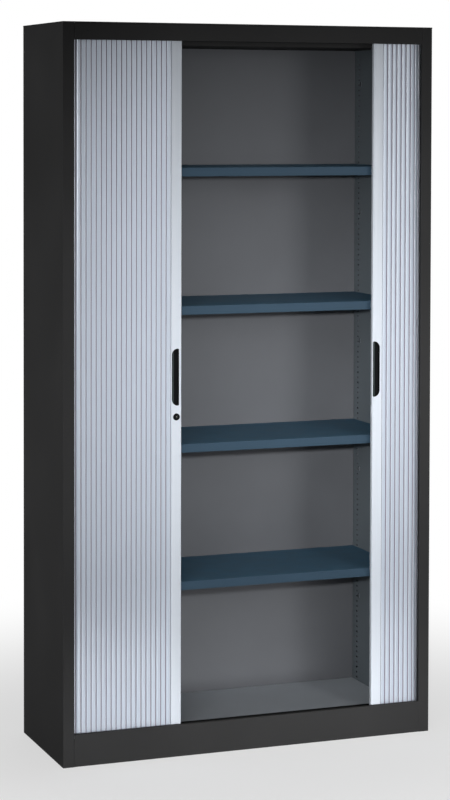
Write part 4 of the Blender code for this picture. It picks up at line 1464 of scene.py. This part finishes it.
@dataclass
class Feet:
    """The levelling feet: a ribbed pad on a threaded stud, in a plated bracket with its nut."""

    segments: int = 32
    pad: tuple[Flat, ...] = (
        (12.9, 0.0), (14.4, 0.5), (15.0, 1.5), (15.0, 4.6), (14.5, 5.2), (14.1, 5.4),
        (11.0, 6.0), (9.0, 6.9), (5.6, 7.0),
    )
    # One turn of the thread, as shares of its depth and pitch.
    thread: tuple[Flat, ...] = ((1.0, 0.1), (0.0, 0.45), (0.0, 0.65))
    thread_pitch: float = 1.5 * MM
    thread_depth: float = 0.45 * MM
    stud_radius: float = 5 * MM
    stud_top: float = 45 * MM

    def profile(self) -> list[Flat]:
        """Draw the pad and the stud's thread.

        Returns:
            Their (radius, height) points, from the floor up.
        """
        points = in_metres(self.pad)
        height = points[-1][1]
        for turn in range(int((self.stud_top - height) / self.thread_pitch)):
            base = height + turn * self.thread_pitch
            for cut, rise in self.thread:
                radius = self.stud_radius - cut * self.thread_depth
                points.append((radius, base + rise * self.thread_pitch))
        points.append((self.stud_radius - self.thread_depth, self.stud_top))
        return points

    def build(self) -> None:
        """Build the four feet and dress their brackets."""
        for depth in Depth:
            for side in Side:
                place = f"{depth.value}_{side.word}"
                low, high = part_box(f"foot_{place}")
                centre = ((low.x + high.x) / 2, (low.y + high.y) / 2, low.z)
                shape = turned(self.profile(), self.segments, centre, to_front=False)
                foot = add_piece(f"levelling_foot_{place}", shape, (BLACK_MOULDED,))
                hang(foot, f"foot_{place}_body", Slot.BLACK, f"foot_{place}")
                dress(f"foot_bracket_{place}", ZINC)


@dataclass(frozen=True)
class Lamp:
    """A soft square lamp.

    Attributes:
        name: its name.
        place: where it stands.
        target: the point that it faces.
        size: its width and height.
        power: its power in watts.
        spread: the angle that its light fans out to.
    """

    name: str
    place: Place
    target: Place
    size: Flat
    power: float
    spread: float = math.pi

    def build(self) -> None:
        """Hang the lamp."""
        data = bpy.data.lights.new(self.name, "AREA")
        data.shape = "RECTANGLE"
        data.size, data.size_y = self.size
        data.energy = self.power
        data.spread = self.spread
        lamp = bpy.data.objects.new(self.name, data)
        lamp.location = self.place
        way = Vector(self.target) - Vector(self.place)
        lamp.rotation_euler = way.to_track_quat("-Z", "Y").to_euler()
        lamp.visible_camera = False
        bpy.context.scene.collection.objects.link(lamp)


@dataclass
class Studio:
    """A pale floor that fades to white away from the cabinet, soft lamps and an even sky."""

    floor_reach: float = 14.0
    floor_sides: int = 96
    floor_lift: float = 0.6
    fade_start: float = 0.5
    fade_end: float = 2.0
    floor_colour: Colour = (0.88, 0.88, 0.885, 1.0)
    white: Colour = (1.0, 1.0, 1.0, 1.0)
    sky_strength: float = 0.12
    lamps: tuple[Lamp, ...] = (
        Lamp("key", (-2.0, -5.4, 1.85), (0.17, -0.1, 0.97), (0.15, 0.15), 4.6, math.radians(24.5)),
        Lamp("side", (-1.9, -2.7, 1.70), (-0.1, -0.2, 0.64), (1.4, 1.6), 2.0, math.radians(47)),
        Lamp("fill", (1.0, -3.0, 1.50), (0.60, -0.2, 0.98), (0.7, 1.4), 2.15, math.radians(42)),
        Lamp("low", (-0.08, -1.3, 0.10), (-0.1, -0.2, 0.03), (1.6, 0.20), 1.4, math.radians(42)),
        Lamp("back", (0.6, 3.0, 2.2), (0.0, 0.2, 1.0), (1.8, 1.4), 14.0),
    )

    def build(self) -> None:
        """Lay the floor, light the sky and hang the lamps."""
        self.lay_floor()
        self.light_sky()
        for lamp in self.lamps:
            lamp.build()
        bpy.context.scene.view_settings.view_transform = "Standard"
        log.info("lit the studio with %d lamps", len(self.lamps))

    def lay_floor(self) -> None:
        """Lay a round floor with its fading material."""
        shape = bmesh.new()
        bmesh.ops.create_circle(
            shape, cap_ends=True, radius=self.floor_reach, segments=self.floor_sides
        )
        mesh = bpy.data.meshes.new("studio_floor")
        shape.to_mesh(mesh)
        shape.free()
        mesh.materials.append(self.floor_material())
        floor = bpy.data.objects.new("studio_floor", mesh)
        bpy.context.scene.collection.objects.link(floor)

    def floor_material(self) -> bpy.types.Material:
        """Make the floor take shadows near the cabinet and be plain white further out.

        Returns:
            The floor's material.
        """
        made = bpy.data.materials.new("pale_floor")
        made.use_nodes = True
        made.node_tree.nodes.clear()
        wiring = Wiring(made.node_tree)
        place = wiring.add("ShaderNodeTexCoord")["Object"]
        reach = wiring.add("ShaderNodeVectorMath", {0: place}, operation="LENGTH")["Value"]
        fade = wiring.part(reach, self.fade_start, self.fade_end, interpolation_type="SMOOTHSTEP")
        lifted = wiring.between(fade, self.floor_lift, 1.0)
        share = wiring.maths("MULTIPLY", lifted, self.seen(wiring))
        matt = wiring.add("ShaderNodeBsdfDiffuse", {"Color": self.floor_colour})[0]
        glow = wiring.add("ShaderNodeEmission", {"Color": self.white, "Strength": 1.0})[0]
        mixed = wiring.add("ShaderNodeMixShader", {0: share, 1: matt, 2: glow})[0]
        wiring.add("ShaderNodeOutputMaterial", {"Surface": mixed})
        return made

    @staticmethod
    def seen(wiring: Wiring) -> Socket:
        """Tell whether a ray comes from the camera, a reflection or glass.

        Args:
            wiring: the tree that asks.

        Returns:
            The socket that is 1 for such a ray and 0 for any other.
        """
        path = wiring.add("ShaderNodeLightPath")
        mirrored = wiring.maths("MAXIMUM", path["Is Camera Ray"], path["Is Glossy Ray"])
        return wiring.maths("MAXIMUM", mirrored, path["Is Transmission Ray"])

    def light_sky(self) -> None:
        """Light the sky evenly, and show it white to the camera and to reflections."""
        world = bpy.data.worlds.new("studio_sky")
        bpy.context.scene.world = world
        world.use_nodes = True
        wiring = Wiring(world.node_tree)
        inputs = world.node_tree.nodes["Background"].inputs
        inputs["Color"].default_value = self.white
        strength = wiring.between(self.seen(wiring), self.sky_strength, 1.0)
        wiring.feed(inputs["Strength"], strength)


@dataclass
class PhotoCamera:
    """The camera at the photograph's angle: a little from the left, upright, shifted down."""

    place: Place = (-2.294, -6.151, 1.743)
    yaw: float = math.radians(21.580)
    pitch: float = math.radians(2.141)
    roll: float = math.radians(0.179)
    lens: float = 105.894
    shift: Flat = (-0.0613, -0.25)

    def build(self) -> None:
        """Set up the camera."""
        data = bpy.data.cameras.new("photo_camera")
        data.lens = self.lens
        data.shift_x, data.shift_y = self.shift
        yaw_sine, yaw_cosine = math.sin(self.yaw), math.cos(self.yaw)
        pitch_sine, pitch_cosine = math.sin(self.pitch), math.cos(self.pitch)
        ahead = Vector((yaw_sine * pitch_cosine, yaw_cosine * pitch_cosine, -pitch_sine))
        level = Vector((yaw_cosine, -yaw_sine, 0))
        upright = level.cross(ahead)
        across = level * math.cos(self.roll) + upright * math.sin(self.roll)
        up = upright * math.cos(self.roll) - level * math.sin(self.roll)
        turn = Matrix((across, up, -ahead)).transposed()
        camera = bpy.data.objects.new("photo_camera", data)
        camera.matrix_world = Matrix.Translation(self.place) @ turn.to_4x4()
        bpy.context.scene.collection.objects.link(camera)
        bpy.context.scene.camera = camera
        log.info("set the camera at %s", self.place)


def main() -> None:
    """Build the camera, the cabinet's pieces and the studio, in that order."""
    logging.basicConfig(level=logging.INFO, format="%(name)s: %(message)s")
    PhotoCamera().build()
    Casing().build()
    for side in Side:
        PerforatedWall(side).build()
    Shelves().build()
    Tracks().build()
    for side in Side:
        Curtain(side).build()
        LeadingBar(side).build()
    Lock().build()
    Feet().build()
    Studio().build()


if __name__ == "__main__":
    main()
